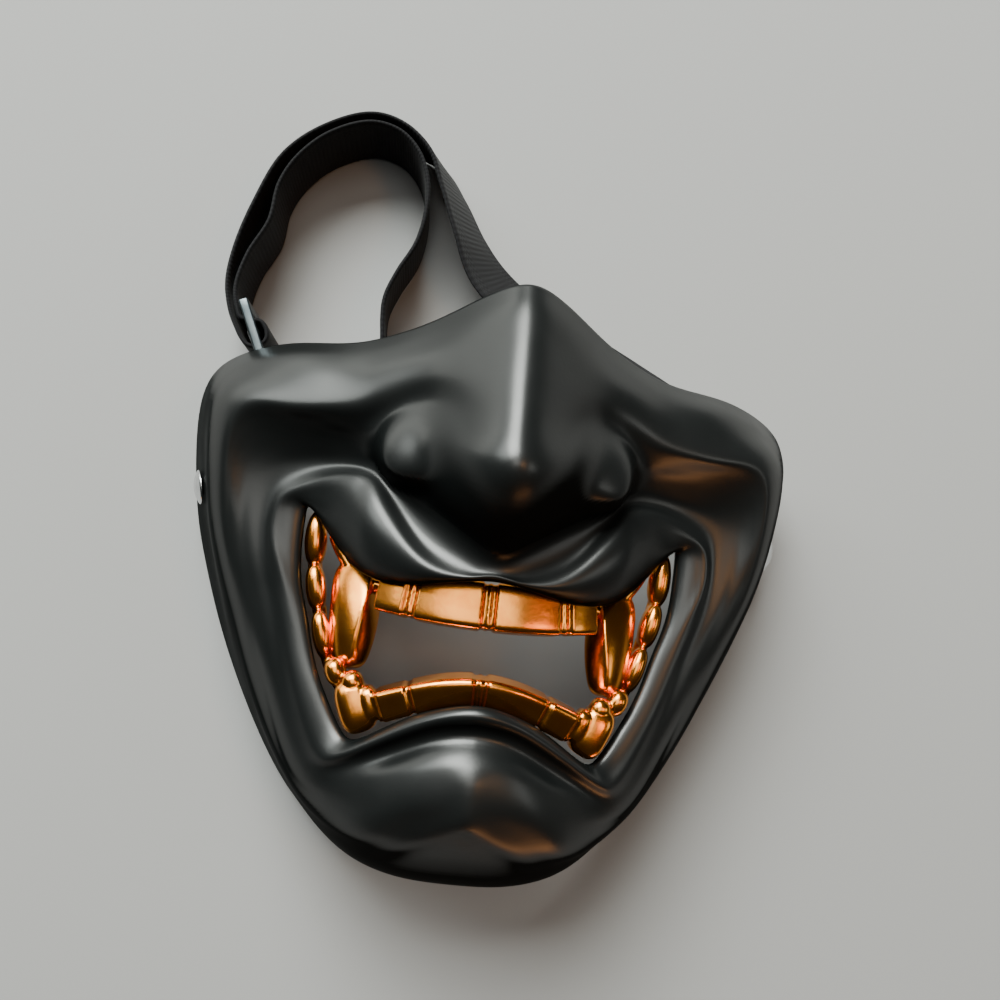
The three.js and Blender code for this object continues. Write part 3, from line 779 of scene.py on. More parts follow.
def normals(face: np.ndarray) -> np.ndarray:
    """Outward directions of a grid of points."""
    along = np.roll(face, -1, axis=0) - np.roll(face, 1, axis=0)
    rows = padded(face)
    turned = np.cross(along, rows[:, 2:] - rows[:, :-2])
    return turned / np.maximum(1e-9, np.linalg.norm(turned, axis=-1, keepdims=True))


@dataclass
class FaceSurface:
    """Outer and inner faces of the shell as grids of points: columns round the mouth, rows out from it."""

    columns: int = 364
    rows_per_span: tuple[int, ...] = (3, 6, 6, 6, 8, 8, 8, 8, 8, 10, 12)
    around_smoothing: int = 24
    across_smoothing: int = 4
    backing_smoothing: int = 170
    least_facing: float = 0.62
    shortest_chord: float = 0.05
    rivet_station: float = 7.03
    rivet_share: float = 0.36
    outer: np.ndarray = field(init=False)
    inner: np.ndarray = field(init=False)

    def __post_init__(self) -> None:
        """Lay the outer face with its forms and relief, then the inner one."""
        around = np.arange(self.columns) * 2 * LAST_STATION / self.columns
        face, ring = self.section(around)
        face = self.smoothed(face)
        for softening in SOFTENINGS:
            face = softening.apply(face)
        for lobe in LOBES:
            face = lobe.raised(face)
        for blending in BLENDINGS:
            face = blending.apply(face)
        for relief in RELIEFS:
            face = face + normals(face) * relief.lift(face)[..., None]
        face[..., 2] = np.maximum(0.0, face[..., 2])
        self.outer = face
        self.inner = self.backed(face, ring, around)
        forms = ", ".join(form.name for form in (*RINGS, *RELIEFS))
        LOG.info("face laid through its rings and relief: %s", forms)

    def section(self, around: np.ndarray) -> tuple[np.ndarray, np.ndarray]:
        """Lay the cross-sections of the outer face.

        Args:
            around: places 0..26 round the mouth.

        Returns:
            Points by column and row, and the ring place of each row.
        """
        points = np.stack([ring_points(k, around) for k in range(len(RINGS))])
        chords = points[1:] - points[:-1]
        lengths = np.maximum(self.shortest_chord, np.linalg.norm(chords, axis=-1, keepdims=True))
        units = chords / lengths
        smooth = [units[0]]
        for k in range(1, len(RINGS) - 1):
            total = lengths[k - 1] + lengths[k]
            smooth.append(units[k - 1] * lengths[k] / total + units[k] * lengths[k - 1] / total)
        smooth.append(units[-1])
        rows, rings = [], []
        for k, steps in enumerate(self.rows_per_span):
            here, there = sharpness(k, around), sharpness(k + 1, around)
            leave = (smooth[k] * (1 - here) + units[k] * here) * lengths[k]
            arrive = (smooth[k + 1] * (1 - there) + units[k] * there) * lengths[k]
            for i in range(steps):
                rows.append(hermite(points[k], points[k + 1], leave, arrive, i / steps))
                rings.append(k + i / steps)
        rows.append(points[-1])
        rings.append(float(len(RINGS) - 1))
        return np.stack(rows, axis=1), np.array(rings)

    def smoothed(self, face: np.ndarray) -> np.ndarray:
        """Even out a grid round the mouth and along its sections, keeping both borders.

        Args:
            face: grid of points.

        Returns:
            The evened grid.
        """
        for _ in range(self.around_smoothing):
            face = 0.5 * face + 0.25 * (np.roll(face, 1, axis=0) + np.roll(face, -1, axis=0))
        for _ in range(self.across_smoothing):
            middle = 0.5 * face[:, 1:-1] + 0.25 * (face[:, 2:] + face[:, :-2])
            face = np.concatenate([face[:, :1], middle, face[:, -1:]], axis=1)
        return face

    def backed(self, face: np.ndarray, ring: np.ndarray, around: np.ndarray) -> np.ndarray:
        """Lay the inner face one wall behind the outer one, and further out behind the lips.

        Args:
            face: outer grid.
            ring: ring place of each row.
            around: place of each column.

        Returns:
            The inner grid.
        """
        exact = normals(face)
        slow = exact
        for _ in range(self.backing_smoothing):
            slow = unit(2 * slow + four_neighbours(slow))
        facing = np.sum(exact * slow, axis=-1, keepdims=True)
        general = -slow * (WALL / np.maximum(self.least_facing, facing))
        k = np.minimum(LIP_GROOVE, np.floor(ring).astype(int))
        after = np.minimum(LIP_GROOVE, k + 1)
        t = np.clip(ring - k, 0, 1)
        inset = np.array(LIP_INSET)
        out, down = (inset[k] * (1 - t)[:, None] + inset[after] * t[:, None]).T
        mouthward = ring_points(LIP_GROOVE, around) - ring_points(LIP_EDGE, around)
        mouthward[:, 2] = 0
        lip = unit(mouthward)[:, None, :] * out[None, :, None]
        lip[..., 2] -= down[None, :]
        mix = np.clip(ring - LIP_GROOVE, 0, 1)[None, :, None]
        inner = face + lip * (1 - mix) + general * mix
        inner[..., 2] = np.maximum(0.0, inner[..., 2])
        return inner

    def place(self, u: np.ndarray, v: np.ndarray) -> np.ndarray:
        """Walk the closed wall: out over the outer face and back over the inner one.

        Args:
            u: place round the mouth, 0..1.
            v: place along the walk, 0..1.

        Returns:
            One face-frame point for each pair.
        """
        count = self.outer.shape[1]
        wall = np.concatenate([self.outer, self.inner[:, ::-1]], axis=1)
        column = np.rint(u * self.columns).astype(int) % self.columns
        row = np.rint(v * 2 * count).astype(int) % (2 * count)
        return wall[column, row]

    def point(self, column: float, row: float) -> np.ndarray:
        """Read the outer face anywhere between its columns and rows.

        Args:
            column: place along the columns.
            row: place along the rows.

        Returns:
            The face-frame point.
        """
        c, r = int(column), int(row)
        t, s = column - c, row - r
        low = self.outer[c, r] * (1 - t) + self.outer[c + 1, r] * t
        high = self.outer[c, r + 1] * (1 - t) + self.outer[c + 1, r + 1] * t
        return low * (1 - s) + high * s

    def rivet_seat(self, side: Side) -> tuple[Vector, Vector]:
        """Find where a rivet sits on the side flange and which way its head faces.

        Args:
            side: which flange.

        Returns:
            The seat in the face frame, and the outward direction.
        """
        around = self.rivet_station if side is Side.RIGHT else 2 * LAST_STATION - self.rivet_station
        column = around * self.columns / (2 * LAST_STATION)
        row = sum(self.rows_per_span[:-1]) + self.rivet_share * self.rows_per_span[-1]
        along = self.point(column + 1, row) - self.point(column - 1, row)
        across = self.point(column, row + 1) - self.point(column, row - 1)
        normal = unit(np.cross(along, across))
        if normal[0] * side.value < 0:
            normal = -normal
        return Vector(self.point(column, row)), Vector(normal)


@dataclass
class FaceShell:
    """The glossy black shell, its reflection strength painted on: faces turned from the window reflect almost
    nothing, as painted shade, and round one spot of the right cheek the reflection stays full, as a painted
    reflection.
    """

    surface: FaceSurface
    finish: Plastic = Plastic()
    # Reflection levels: the lowest on faces turned from the window (painted shade), the highest on faces
    # towards it and round the cheek spot (painted reflection).
    dull: float = 0.0006
    full_reflection: float = 0.65
    window_side: Triple = (-0.05, 0.12, 0.95)
    facing_range: tuple[float, float] = (0.42, 0.80)
    reflecting_cheek_spot: Triple = (46.0, 37.0, 53.0)
    cheek_reach: float = 13.0

    def build(self) -> bpy.types.Object:
        """Make the shell, standing for the plain one.

        Returns:
            The dressed shell.
        """
        rows = 2 * self.surface.outer.shape[1]
        shell = lattice("face_shell", self.surface.columns, rows, self.surface.place)
        self.paint_shade_by_facing(shell.data)
        shell.data.materials.append(self.finish.make())
        return settle(shell, "mask_shell")

    def paint_shade_by_facing(self, mesh: bpy.types.Mesh) -> None:
        """Note on the mesh how strongly each place reflects: painted shade where it turns from the window,
        painted reflection round the cheek spot.

        Args:
            mesh: the shell's mesh.
        """
        directions, points = np.empty(3 * len(mesh.vertices)), np.empty(3 * len(mesh.vertices))
        mesh.vertices.foreach_get("normal", directions)
        mesh.vertices.foreach_get("co", points)
        facing = directions.reshape(-1, 3) @ np.array(self.window_side)
        amount = self.dull + (self.full_reflection - self.dull) * smoothstep(facing, *self.facing_range)
        away = points.reshape(-1, 3) - row_frame(np.array(self.reflecting_cheek_spot))
        near = np.exp(-np.sum((away / (self.cheek_reach * MM)) ** 2, axis=-1))
        amount = np.maximum(amount, self.full_reflection * near)
        # The polish attribute carries this painted shade and painted reflection.
        mesh.attributes.new("polish", "FLOAT", "POINT").data.foreach_set("value", amount)


# Teeth


@dataclass(frozen=True)
class Nugget:
    """A rounded block of a tooth row: a ball pushed towards a box, tapered, and turned by degrees about Z."""

    centre: Triple
    size: Triple
    turn: float = 0.0
    taper: float = 0.0
    box: float = 0.45

    def build(self, side: int) -> bpy.types.Object:
        """Make the block on one side of the face.

        Args:
            side: 1 for +X, -1 for -X.

        Returns:
            A closed mesh.
        """
        matrix = np.array(Matrix.Rotation(math.radians(side * self.turn), 3, "Z"))
        centre = np.array([side * self.centre[0], *self.centre[1:]])

        def place(u: np.ndarray, v: np.ndarray) -> np.ndarray:
            """Points of the block's skin."""
            longitude, latitude = 2 * np.pi * u, np.pi * (v - 0.5)
            level = np.cos(latitude)
            ball = (np.cos(longitude) * level, np.sin(latitude), np.sin(longitude) * level)
            x, y, z = (squared_off(wave, 1 - self.box) for wave in ball)
            wide = 1 + self.taper * y
            return np.stack([x * wide, y, z * wide], axis=-1) * self.size / 2 @ matrix.T + centre

        return lattice("block", 40, 28, place)


@dataclass(frozen=True)
class GumBar:
    """A round bar behind a tooth row, through points of one side."""

    half: tuple[Triple, ...]
    diameter: float
    closing: float = 0.02

    def build(self) -> bpy.types.Object:
        """Make the bar across both sides.

        Returns:
            A closed mesh.
        """
        points = both_sides(self.half)

        def place(u: np.ndarray, v: np.ndarray) -> np.ndarray:
            """Points of the bar's skin, closed at both ends."""
            ahead = heading(points, u)
            side = unit(np.cross(ahead, [0, 0, 1.0]))
            up = np.cross(side, ahead)
            radius = self.diameter / 2 * np.sqrt(np.clip(np.minimum(u, 1 - u) / self.closing, 0, 1))[:, None]
            angle = (2 * np.pi * v)[:, None]
            return spline(points, u) + radius * (side * np.cos(angle) + up * np.sin(angle))

        return lattice("bar", 80, 14, place)


@dataclass(frozen=True)
class Strip:
    """A recessed strip between two teeth, with a rib standing in it."""

    x: float
    half_width: float
    recess: float = 0.95
    rib: float = 0.5
    rib_width: float = 0.5
    inner_edge: float = 0.45
    outer_edge: float = 0.35

    def depth(self, x: np.ndarray) -> np.ndarray:
        """How far the strip lies back, at distances from the midline."""
        off = np.abs(np.abs(x) - self.x)
        hollow = self.recess * (1 - smoothstep(off, self.half_width - self.inner_edge,
                                               self.half_width + self.outer_edge))
        return hollow - self.rib * np.exp(-(off / self.rib_width) ** 2) * (hollow > 0.5 * self.recess)


@dataclass(frozen=True)
class FrontTeeth:
    """The front teeth of a row as one moulded bar, with recessed strips between them.

    Each row of half is x, y, z, height and depth. Crown is how far the face falls back above and below.
    """

    half: tuple[tuple[float, float, float, float, float], ...]
    strips: tuple[Strip, ...]
    lean: float
    box: float = 0.70
    crown: float = 0.25
    closing: float = 0.015

    def build(self) -> bpy.types.Object:
        """Make the bar across both sides.

        Returns:
            A closed mesh.
        """
        rows = both_sides(self.half)
        cosine, sine = math.cos(math.radians(self.lean)), math.sin(math.radians(self.lean))

        def place(u: np.ndarray, v: np.ndarray) -> np.ndarray:
            """Points of the bar's skin, closed at both ends."""
            row = spline(rows, u)
            ahead = heading(rows, u)
            out = unit(np.cross(ahead, [0.0, 1.0, 0.0]))
            up = np.cross(out, ahead)
            tall, deep = row[:, 3], row[:, 4]
            sunk = np.max([strip.depth(row[:, 0]) for strip in self.strips], axis=0).clip(min=0)
            shut = np.sqrt(np.clip(np.minimum(u, 1 - u) / self.closing, 0, 1))
            angle = 2 * np.pi * v
            height = squared_off(np.sin(angle), 1 - self.box) * (tall / 2 - 0.5 * sunk)
            front = squared_off(np.cos(angle), 1 - self.box) * (deep / 2 - sunk)
            front = front - np.where(front > 0, self.crown * (2 * height / tall) ** 2, 0)
            height, front = height * shut, front * shut
            turned_height = height * cosine - front * sine
            turned_front = front * cosine + height * sine
            return row[:, :3] + up * turned_height[:, None] - out * turned_front[:, None]

        return lattice("front", 420, 72, place)


@dataclass(frozen=True)
class Fang:
    """A broad tapered tooth with a ridge down its front.

    Each row of sections is width, depth and the degrees by which the ridge leans, from the top to the tip.
    Roundness is 2 for round sections and 1 for diamonds.
    """

    top: Triple = (33.2, 2.8, 39.4)
    tip: Triple = (32.4, -24.4, 45.4)
    sections: tuple[Triple, ...] = (
        (10.4, 7.4, -34.0), (12.8, 10.8, -30.0), (12.8, 12.8, -24.0),
        (12.2, 12.8, -16.0), (10.4, 11.0, -8.0), (7.4, 7.6, -4.0),
    )
    roundness: float = 1.4
    bluntness: int = 16

    def build(self, side: int) -> bpy.types.Object:
        """Make the fang on one side of the face.

        Args:
            side: 1 for +X, -1 for -X.

        Returns:
            A closed mesh.
        """
        start, end = np.array(self.top), np.array(self.tip)
        ahead = unit(end - start)
        across = unit(np.array([1.0, 0.0, 0.0]) - ahead * ahead[0])
        out = np.cross(ahead, across)

        def place(u: np.ndarray, v: np.ndarray) -> np.ndarray:
            """Points of the fang's skin, closed at the top and the tip."""
            close = np.sqrt(np.clip(1 - (2 * v - 1) ** self.bluntness, 0, 1))
            wide, deep, turn = spline(self.sections, v).T
            angle = 2 * np.pi * u
            x = squared_off(np.cos(angle), 2 / self.roundness)
            z = squared_off(np.sin(angle), 2 / self.roundness)
            x = x + np.maximum(0, z) * np.sin(np.radians(turn)) * (1 - np.abs(x))
            point = (start + (end - start) * v[:, None] + across * (x * (wide / 2 * close))[:, None]
                     + out * (z * (deep / 2 * close))[:, None])
            point[:, 0] *= side
            return point

        return lattice("fang", 72, 64, place)


UPPER_FRONT = FrontTeeth(
    half=((0, -5.0, 53.1, 12.0, 7.8), (8.6, -4.9, 53.0, 11.8, 7.8), (16.5, -4.7, 51.9, 11.2, 7.6),
          (21.5, -4.4, 50.4, 10.6, 7.4), (26.6, -4.1, 48.0, 9.8, 7.0)),
    strips=(Strip(0.0, 1.7), Strip(18.3, 1.3)),
    lean=8.0,
)
UPPER_BAR = GumBar(((0, -1.6, 50.0), (14, -2.2, 48.6), (27, -3.0, 44.6), (33, -1.4, 41.8), (38.2, 4.6, 39.6),
                    (41.0, 9.4, 38.2)), 3.6)

LOWER_FRONT = FrontTeeth(
    half=((0, -25.3, 55.4, 8.2, 7.6), (8, -26.1, 55.1, 8.0, 7.6), (15.5, -28.3, 54.0, 7.8, 7.4),
          (24.5, -31.9, 51.8, 8.0, 7.0)),
    strips=(Strip(0.0, 1.6), Strip(15.9, 0.65, 0.7, 0.0), Strip(23.4, 0.5, 0.6, 0.0)),
    lean=-16.0,
    box=0.60,
)
LOWER_NUGGETS = (
    Nugget((25.8, -31.4, 51.2), (4.6, 9.2, 7.4), turn=-20, box=0.3),
    Nugget((29.3, -32.3, 50.2), (9.2, 13.6, 8.6), turn=-26, taper=-0.08, box=0.32),
    Nugget((30.6, -26.9, 51.0), (5.6, 6.0, 5.8), turn=-20, box=0.1),
    Nugget((35.2, -25.0, 48.4), (5.4, 7.2, 6.2), turn=-24, box=0.1),
    Nugget((40.2, -16.8, 42.4), (4.9, 12.6, 7.0), turn=-16, box=0.1),
    Nugget((43.4, -5.2, 40.4), (5.3, 12.4, 7.0), turn=-12, box=0.1),
    Nugget((45.2, 7.0, 38.8), (5.8, 14.6, 6.6), turn=-4, taper=-0.10, box=0.05),
)
LOWER_BAR = GumBar(((0, -26.6, 53.6), (9, -27.6, 52.6), (19.5, -30.8, 50.0), (28.5, -32.4, 47.0),
                    (36.2, -25.5, 43.2), (40.4, -16, 39.8), (43.2, -6, 38.2), (45.2, 3, 37.4),
                    (46, 11, 37.2)), 3.8)


@dataclass
class ToothRow:
    """One plated row of teeth, moulded in one piece."""

    name: str
    node: str
    front: FrontTeeth
    blocks: tuple[Nugget | Fang, ...]
    bar: GumBar
    finish: bpy.types.Material
    grain: float = 0.00028
    polishing: int = 2

    def build(self) -> bpy.types.Object:
        """Make the row, standing for the plain one.

        Returns:
            The plated row.
        """
        parts = [self.bar.build(), self.front.build()]
        parts.extend(block.build(side) for block in self.blocks for side in (1, -1))
        row = fused(self.name, parts, self.grain, self.polishing)
        row.data.materials.append(self.finish)
        return settle(row, self.node)


# Strap and its metal

# Long strap, from the right rivet round the loop to the slide and back as its tail:
# x, y, z and the lean of its upper edge in degrees
STRAP_ROUTE = (
    (75.4, 9.6, 13.2, 19), (76.5, 15, 13.2, 19), (77.5, 20.5, 13.2, 19), (78.0, 28, 13, 19),
    (75, 38, 12.8, 20), (67, 49.5, 12.6, 22), (54, 59.5, 12.4, 26), (38, 67, 12, 30),
    (20, 74.5, 11.4, 35), (3, 82, 11, 38), (-7.6, 90, 11, 37), (-15, 101, 11.8, 27),
    (-21.3, 112.8, 12.2, 21), (-27.2, 122, 12.6, 14), (-36.5, 127.4, 12.8, 5), (-46.6, 128.4, 12.8, 0),
    (-59.5, 122.9, 12.8, 0), (-69.8, 113.2, 12.8, 0), (-75.9, 98.4, 12.9, 0), (-79.4, 84, 13.3, 0),
    (-79.8, 74, 14.0, 0), (-77.8, 66.4, 14.2, 0), (-75.6, 62.2, 14.3, 0), (-73.95, 59.6, 14.3, 0),
    (-71.9, 57.7, 14.3, 0), (-69.0, 57.8, 14.3, 0), (-67.2, 60.0, 14.3, 0), (-67.5, 62.6, 14.3, 0),
    (-69.4, 64.6, 14.3, 0), (-72.2, 64.6, 14.3, 0), (-74.8, 65.0, 14.3, 0), (-76.1, 67.4, 14.2, 0),
    (-77.4, 73.4, 14.0, 0), (-75.6, 83.2, 13.3, 0), (-71.2, 93.6, 12.9, 0), (-69.9, 104.5, 12.8, 0),
    (-66, 112.8, 12.8, 0), (-58.2, 120.9, 12.8, 0), (-47, 125.9, 12.8, 0), (-38.5, 124.6, 12.8, 0),
    (-32.6, 119.4, 12.8, 0), (-29.2, 111.5, 12.8, 0), (-28.6, 102, 12.8, 0), (-30.2, 93, 12.8, 0),
    (-34.4, 84, 12.8, 0), (-36.9, 76, 12.8, 0), (-36.0, 64, 12.8, 0), (-34.6, 52, 12.8, 0),
)

# Short strap, from the left rivet to the slide: x, y, z and the lean of its upper edge in degrees
ANCHOR_ROUTE = (
    (-75.4, 9.6, 13.2, -19), (-76.6, 15, 13.2, -19), (-77.6, 20.5, 13.2, -19), (-77.4, 28, 13.2, -16),
    (-76.2, 36, 13.2, -9), (-73.8, 44, 13.2, -3), (-71.2, 49.6, 13.2, 0), (-70.3, 54.2, 13.2, 0),
)


@dataclass
class Band:
    """A flat elastic band standing on its edge, swept along a route."""

    name: str
    node: str
    route: tuple[tuple[float, float, float, float], ...]
    steps: int
    finish: bpy.types.Material
    heading_step: float = 0.001
    edge_power: float = 0.35
    edge_roundness: int = 24
    fullness: float = 0.94
    selvedge: float = 0.10
    selvedge_at: float = 11.3
    selvedge_width: float = 0.9

    def length(self) -> float:
        """Length of the centre line in metres."""
        line = spline(self.route, np.linspace(0, 1, 2000))[:, :3]
        return float(np.linalg.norm(np.diff(line, axis=0), axis=1).sum()) * MM

    def place(self, u: np.ndarray, v: np.ndarray) -> np.ndarray:
        """Lay the band's skin.

        Args:
            u: place along the band, 0..1.
            v: place round its section, 0..1.

        Returns:
            One face-frame point for each pair.
        """
        centre = spline(self.route, u)
        ahead = unit(heading(self.route, u, self.heading_step) * [1, 1, 0])
        side = np.cross(ahead, [0, 0, 1.0])
        lean = np.radians(centre[:, 3])[:, None]
        up = np.array([0, 0, 1.0]) * np.cos(lean) - side * np.sin(lean)
        face = side * np.cos(lean) + np.array([0, 0, 1.0]) * np.sin(lean)
        across, through = self.outline(v)
        shut = np.where((u < 1e-9) | (u > 1 - 1e-9), 0.0, 1.0)
        return centre[:, :3] + up * across[:, None] + face * (through * shut)[:, None]

    def outline(self, v: np.ndarray) -> tuple[np.ndarray, np.ndarray]:
        """Section of the band: flat faces, rounded edges, a slightly fuller selvedge.

        Args:
            v: place round the section, 0..1.

        Returns:
            Distance across the band and through it, in millimetres.
        """
        angle, half_width = 2 * np.pi * v, STRAP_WIDTH / 2
        across = squared_off(np.sin(angle), self.edge_power) * half_width
        full = np.sqrt(np.clip(1 - (np.abs(across) / half_width) ** self.edge_roundness, 0, 1))
        edge = 1 + self.selvedge * np.exp(-((np.abs(across) - self.selvedge_at) / self.selvedge_width) ** 2)
        return across, np.sign(np.cos(angle)) * full * edge * STRAP_THICKNESS / 2 * self.fullness

    def build(self) -> bpy.types.Object:
        """Make the band, standing for the plain one.

        Returns:
            The dressed band.
        """
        band = lattice(self.name, self.steps, 44, self.place, uv_size=(self.length(), 2 * STRAP_WIDTH * MM))
        band.data.materials.append(self.finish)
        self.length()
        return settle(band, self.node)


@dataclass
class Slide:
    """The nickel slide: a flat frame with a bar across its middle, standing on its side."""

    finish: bpy.types.Material
    centre: Triple = (-70.7, 61.4, 14.3)
    long: float = 18.4
    tall: float = 28.2
    thick: float = 2.6
    rail: float = 2.9
    bar: float = 2.6
    slot_tall: float = 25.8
    turn: float = -65.0
    rounding: float = 0.55
    sharp_angle: float = 0.5

    def frame(self) -> bmesh.types.BMesh:
        """Make the flat frame at the origin.

        Returns:
            The edited mesh, in millimetres.
        """
        slot = (self.long - 2 * self.rail - self.bar) / 2
        columns = np.cumsum([-self.long / 2, self.rail, slot, self.bar, slot, self.rail])
        side = (self.tall - self.slot_tall) / 2
        rows = np.cumsum([-self.tall / 2, side, self.slot_tall, side])
        wide, high = len(columns) - 1, len(rows) - 1
        bm = bmesh.new()
        bmesh.ops.create_grid(bm, x_segments=wide, y_segments=high, size=0.5)
        slots = []
        for face in bm.faces:
            middle = face.calc_center_median()
            if int((middle.y + 0.5) * high) == 1 and int((middle.x + 0.5) * wide) in (1, 3):
                slots.append(face)
        bmesh.ops.delete(bm, geom=slots, context="FACES")
        for vert in bm.verts:
            column, row = round((vert.co.x + 0.5) * wide), round((vert.co.y + 0.5) * high)
            vert.co = Vector((columns[column], self.thick / 2, rows[row]))
        bmesh.ops.recalc_face_normals(bm, faces=bm.faces)
        bmesh.ops.solidify(bm, geom=bm.faces, thickness=self.thick)
        bmesh.ops.recalc_face_normals(bm, faces=bm.faces)
        return bm

    def build(self) -> bpy.types.Object:
        """Make the slide, standing for the plain one.

        Returns:
            The dressed slide.
        """
        bm = self.frame()
        sharp = [edge for edge in bm.edges if edge.calc_face_angle(0) > self.sharp_angle]
        bmesh.ops.bevel(bm, geom=sharp, offset=self.rounding, affect="EDGES", segments=4, profile=0.5,
                        material=-1)
        depths = [vert.co.y for vert in bm.verts]
        bmesh.ops.translate(bm, verts=bm.verts, vec=(0, -(min(depths) + max(depths)) / 2, 0))
        bmesh.ops.rotate(bm, verts=bm.verts, matrix=Matrix.Rotation(math.radians(self.turn), 3, "Z"))
        bmesh.ops.translate(bm, verts=bm.verts, vec=self.centre)
        for vert in bm.verts:
            vert.co = Vector(row_frame(np.array(vert.co)))
        for face in bm.faces:
            face.smooth = True
        slide = added_mesh("slide", bm)
        slide.data.materials.append(self.finish)
        return settle(slide, "slide_buckle")


@dataclass
class Rivet:
    """A domed rivet through the side flange and the strap's end."""

    node: str
    finish: bpy.types.Material
    seat: Vector
    normal: Vector
    head: float = 9.6
    shank: float = 4.2
    inside: float = -5.36

    def profile(self) -> np.ndarray:
        """Radius and height of the inner head, the shank and the domed head, in that order."""
        radius, shank, inside = self.head / 2, self.shank / 2, self.inside
        return np.array([
            (0.0, inside - 1.1), (3.2, inside - 1.1), (3.6, inside - 0.9), (3.8, inside - 0.4), (3.7, inside),
            (shank, inside), (shank, 0.35), (radius - 0.2, 0.35), (radius, 0.5), (radius, 0.75),
            (radius - 0.15, 0.95), (radius - 0.8, 1.3), (radius - 2.0, 1.75), (radius - 3.4, 2.1),
            (0.0, 2.25),
        ])

    def build(self) -> bpy.types.Object:
        """Make the rivet, standing for the plain one.

        Returns:
            The dressed rivet.
        """
        profile = self.profile()
        turn = np.array(Vector((0, 0, 1)).rotation_difference(self.normal).to_matrix())
        count = len(profile) - 1

        def place(u: np.ndarray, v: np.ndarray) -> np.ndarray:
            """Points of the rivet's skin: u round it, v along the profile."""
            k = np.minimum(count - 1, np.floor(v * count).astype(int))
            t = (v * count - k)[:, None]
            r, h = (profile[k] * (1 - t) + profile[k + 1] * t).T
            angle = 2 * np.pi * u
            return np.stack([r * np.cos(angle), r * np.sin(angle), h], axis=-1) @ turn.T + np.array(self.seat)

        rivet = lattice(self.node + "_cap", 48, count * 2, place)
        rivet.data.materials.append(self.finish)
        return settle(rivet, self.node)


# Studio


@dataclass(frozen=True)
class Panel:
    """A rectangular soft light: its middle and size in metres, power, colour and the point that it faces."""

    name: str
    place: Triple
    size: tuple[float, float]
    watts: float
    colour: Triple
    towards: Triple = (0.0, 0.0, 0.04)

    def build(self) -> None:
        """Make the light."""
        data = bpy.data.lights.new(self.name, "AREA")
        data.shape = "RECTANGLE"
        data.size, data.size_y = self.size
        data.energy = self.watts
        data.color = self.colour
        light = added(self.name, data)
        light.location = self.place
        light.rotation_mode = "QUATERNION"
        light.rotation_quaternion = (Vector(self.towards) - Vector(self.place)).to_track_quat("-Z", "Y")


# The window stands beyond the nose bridge, and the warm card lies low beyond the chin
PANELS = (
    Panel("window", (-0.40, 1.10, 1.14), (0.85, 1.02), 64.0, (0.96, 1.0, 0.95)),
    Panel("side window", (-1.05, 0.78, 0.98), (0.7, 0.8), 10.5, (0.94, 1.0, 0.96)),
    Panel("left wall", (-1.10, 0.95, 0.16), (1.2, 0.36), 4.2, (0.97, 1.0, 0.93)),
    Panel("right window", (1.02, -0.02, 0.84), (0.40, 0.30), 0.9, (0.97, 1.0, 0.95)),
    Panel("overhead", (-0.06, 0.28, 1.7), (0.7, 0.8), 5.0, (1.0, 0.99, 0.93), (0.0, 0.0, 0.0)),
    Panel("warm lamp", (0.56, 0.05, 1.28), (0.30, 0.24), 1.7, (1.0, 0.45, 0.14)),
    Panel("warm card", (0.46, -0.98, 0.08), (0.6, 0.14), 1.8, (1.0, 0.42, 0.14)),
)


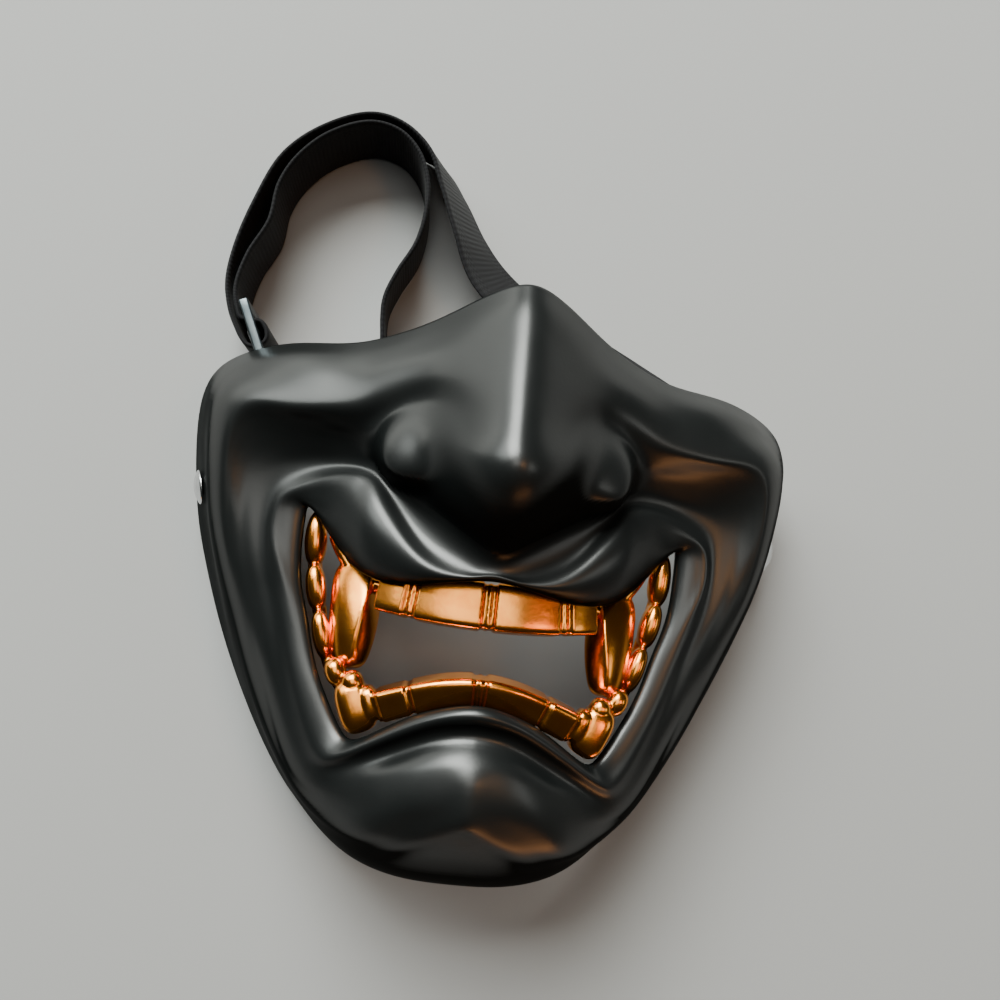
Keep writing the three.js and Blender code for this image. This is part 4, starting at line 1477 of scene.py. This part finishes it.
@dataclass
class Studio:
    """Floor, lights, room and camera. Lengths are metres, the lens and sensor millimetres, angles degrees."""

    floor_size: float = 4.0
    floor_drop: float = 0.0002
    room_colour: tuple[float, float, float, float] = (0.75, 0.82, 0.85, 1)
    room_strength: float = 0.03
    eye: Triple = (-0.01806, -0.025, 0.300)
    tilt: float = 5.0
    lean: float = 4.1235
    roll: float = 6.7873
    lens: float = 36.07
    sensor: float = 36.0
    clip: tuple[float, float] = (0.01, 20.0)

    def build(self) -> None:
        """Make the floor, the soft lights, the room and the camera."""
        self.floor()
        for panel in PANELS:
            panel.build()
        self.room()
        self.camera()

    def floor(self) -> None:
        """Make the plain pale floor."""
        bm = bmesh.new()
        bmesh.ops.create_grid(bm, x_segments=1, y_segments=1, size=self.floor_size / 2)
        floor = added_mesh("floor", bm)
        floor.location.z = -self.floor_drop
        floor.data.materials.append(Floor().make())
        floor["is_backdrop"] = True

    def room(self) -> None:
        """Make the dim room that lights the shadows."""
        world = bpy.data.worlds.new("room")
        world.use_nodes = True
        background = world.node_tree.nodes["Background"]
        background.inputs["Color"].default_value = self.room_colour
        background.inputs["Strength"].default_value = self.room_strength
        bpy.context.scene.world = world

    def camera(self) -> None:
        """Make the camera where the photo's was: overhead, a little tilted and rolled."""
        alpha, beta, turn = (math.radians(angle) for angle in (self.tilt, self.lean, self.roll))
        ahead = Vector((math.sin(beta) * math.cos(alpha), math.sin(alpha), -math.cos(alpha) * math.cos(beta)))
        ahead.normalize()
        level = ahead.cross(Vector((0, 1, 0))).normalized()
        upright = level.cross(ahead)
        right = math.cos(turn) * level + math.sin(turn) * upright
        up = -math.sin(turn) * level + math.cos(turn) * upright
        data = bpy.data.cameras.new("camera")
        data.sensor_fit = "HORIZONTAL"
        data.sensor_width = self.sensor
        data.lens = self.lens
        data.clip_start, data.clip_end = self.clip
        camera = added("camera", data)
        turned = Matrix((right, up, -ahead)).transposed().to_4x4()
        camera.matrix_world = Matrix.Translation(self.eye) @ turned
        bpy.context.scene.camera = camera


def write_bounds(name: str, into: dict[str, list[list[float]]]) -> None:
    """Note the shown object's box under a name."""
    low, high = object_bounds()
    into[name] = [list(low), list(high)]


def main() -> None:
    """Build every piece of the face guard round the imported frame."""
    logging.basicConfig(level=logging.INFO)
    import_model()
    sizes: dict[str, list[list[float]]] = {}
    write_bounds("frame", sizes)
    copper = Plating("copper_plate", (0.95, 0.35, 0.055), (0.86, 0.29, 0.04), 0.22).make()
    nickel = Plating("nickel", (0.72, 0.73, 0.74), (0.60, 0.61, 0.62), 0.24, ripple=0.04).make()
    # The slide's metal is coloured far darker and rougher than the rivets' nickel.
    dark_nickel = Plating("dark_nickel", (0.12, 0.14, 0.15), (0.09, 0.11, 0.12), 0.36, ripple=0.04).make()
    elastic = Webbing().make()
    surface = FaceSurface()
    FaceShell(surface).build()
    ToothRow("upper_row", "upper_teeth", UPPER_FRONT, (Fang(),), UPPER_BAR, copper).build()
    ToothRow("lower_row", "lower_teeth", LOWER_FRONT, LOWER_NUGGETS, LOWER_BAR, copper).build()
    Band("strap_long", "strap_main", STRAP_ROUTE, 620, elastic).build()
    Band("strap_short", "strap_anchor", ANCHOR_ROUTE, 60, elastic).build()
    Slide(dark_nickel).build()
    for side, node in ((Side.LEFT, "rivet_left"), (Side.RIGHT, "rivet_right")):
        Rivet(node, nickel, *surface.rivet_seat(side)).build()
    Studio().build()
    write_bounds("shown", sizes)


if __name__ == "__main__":
    main()
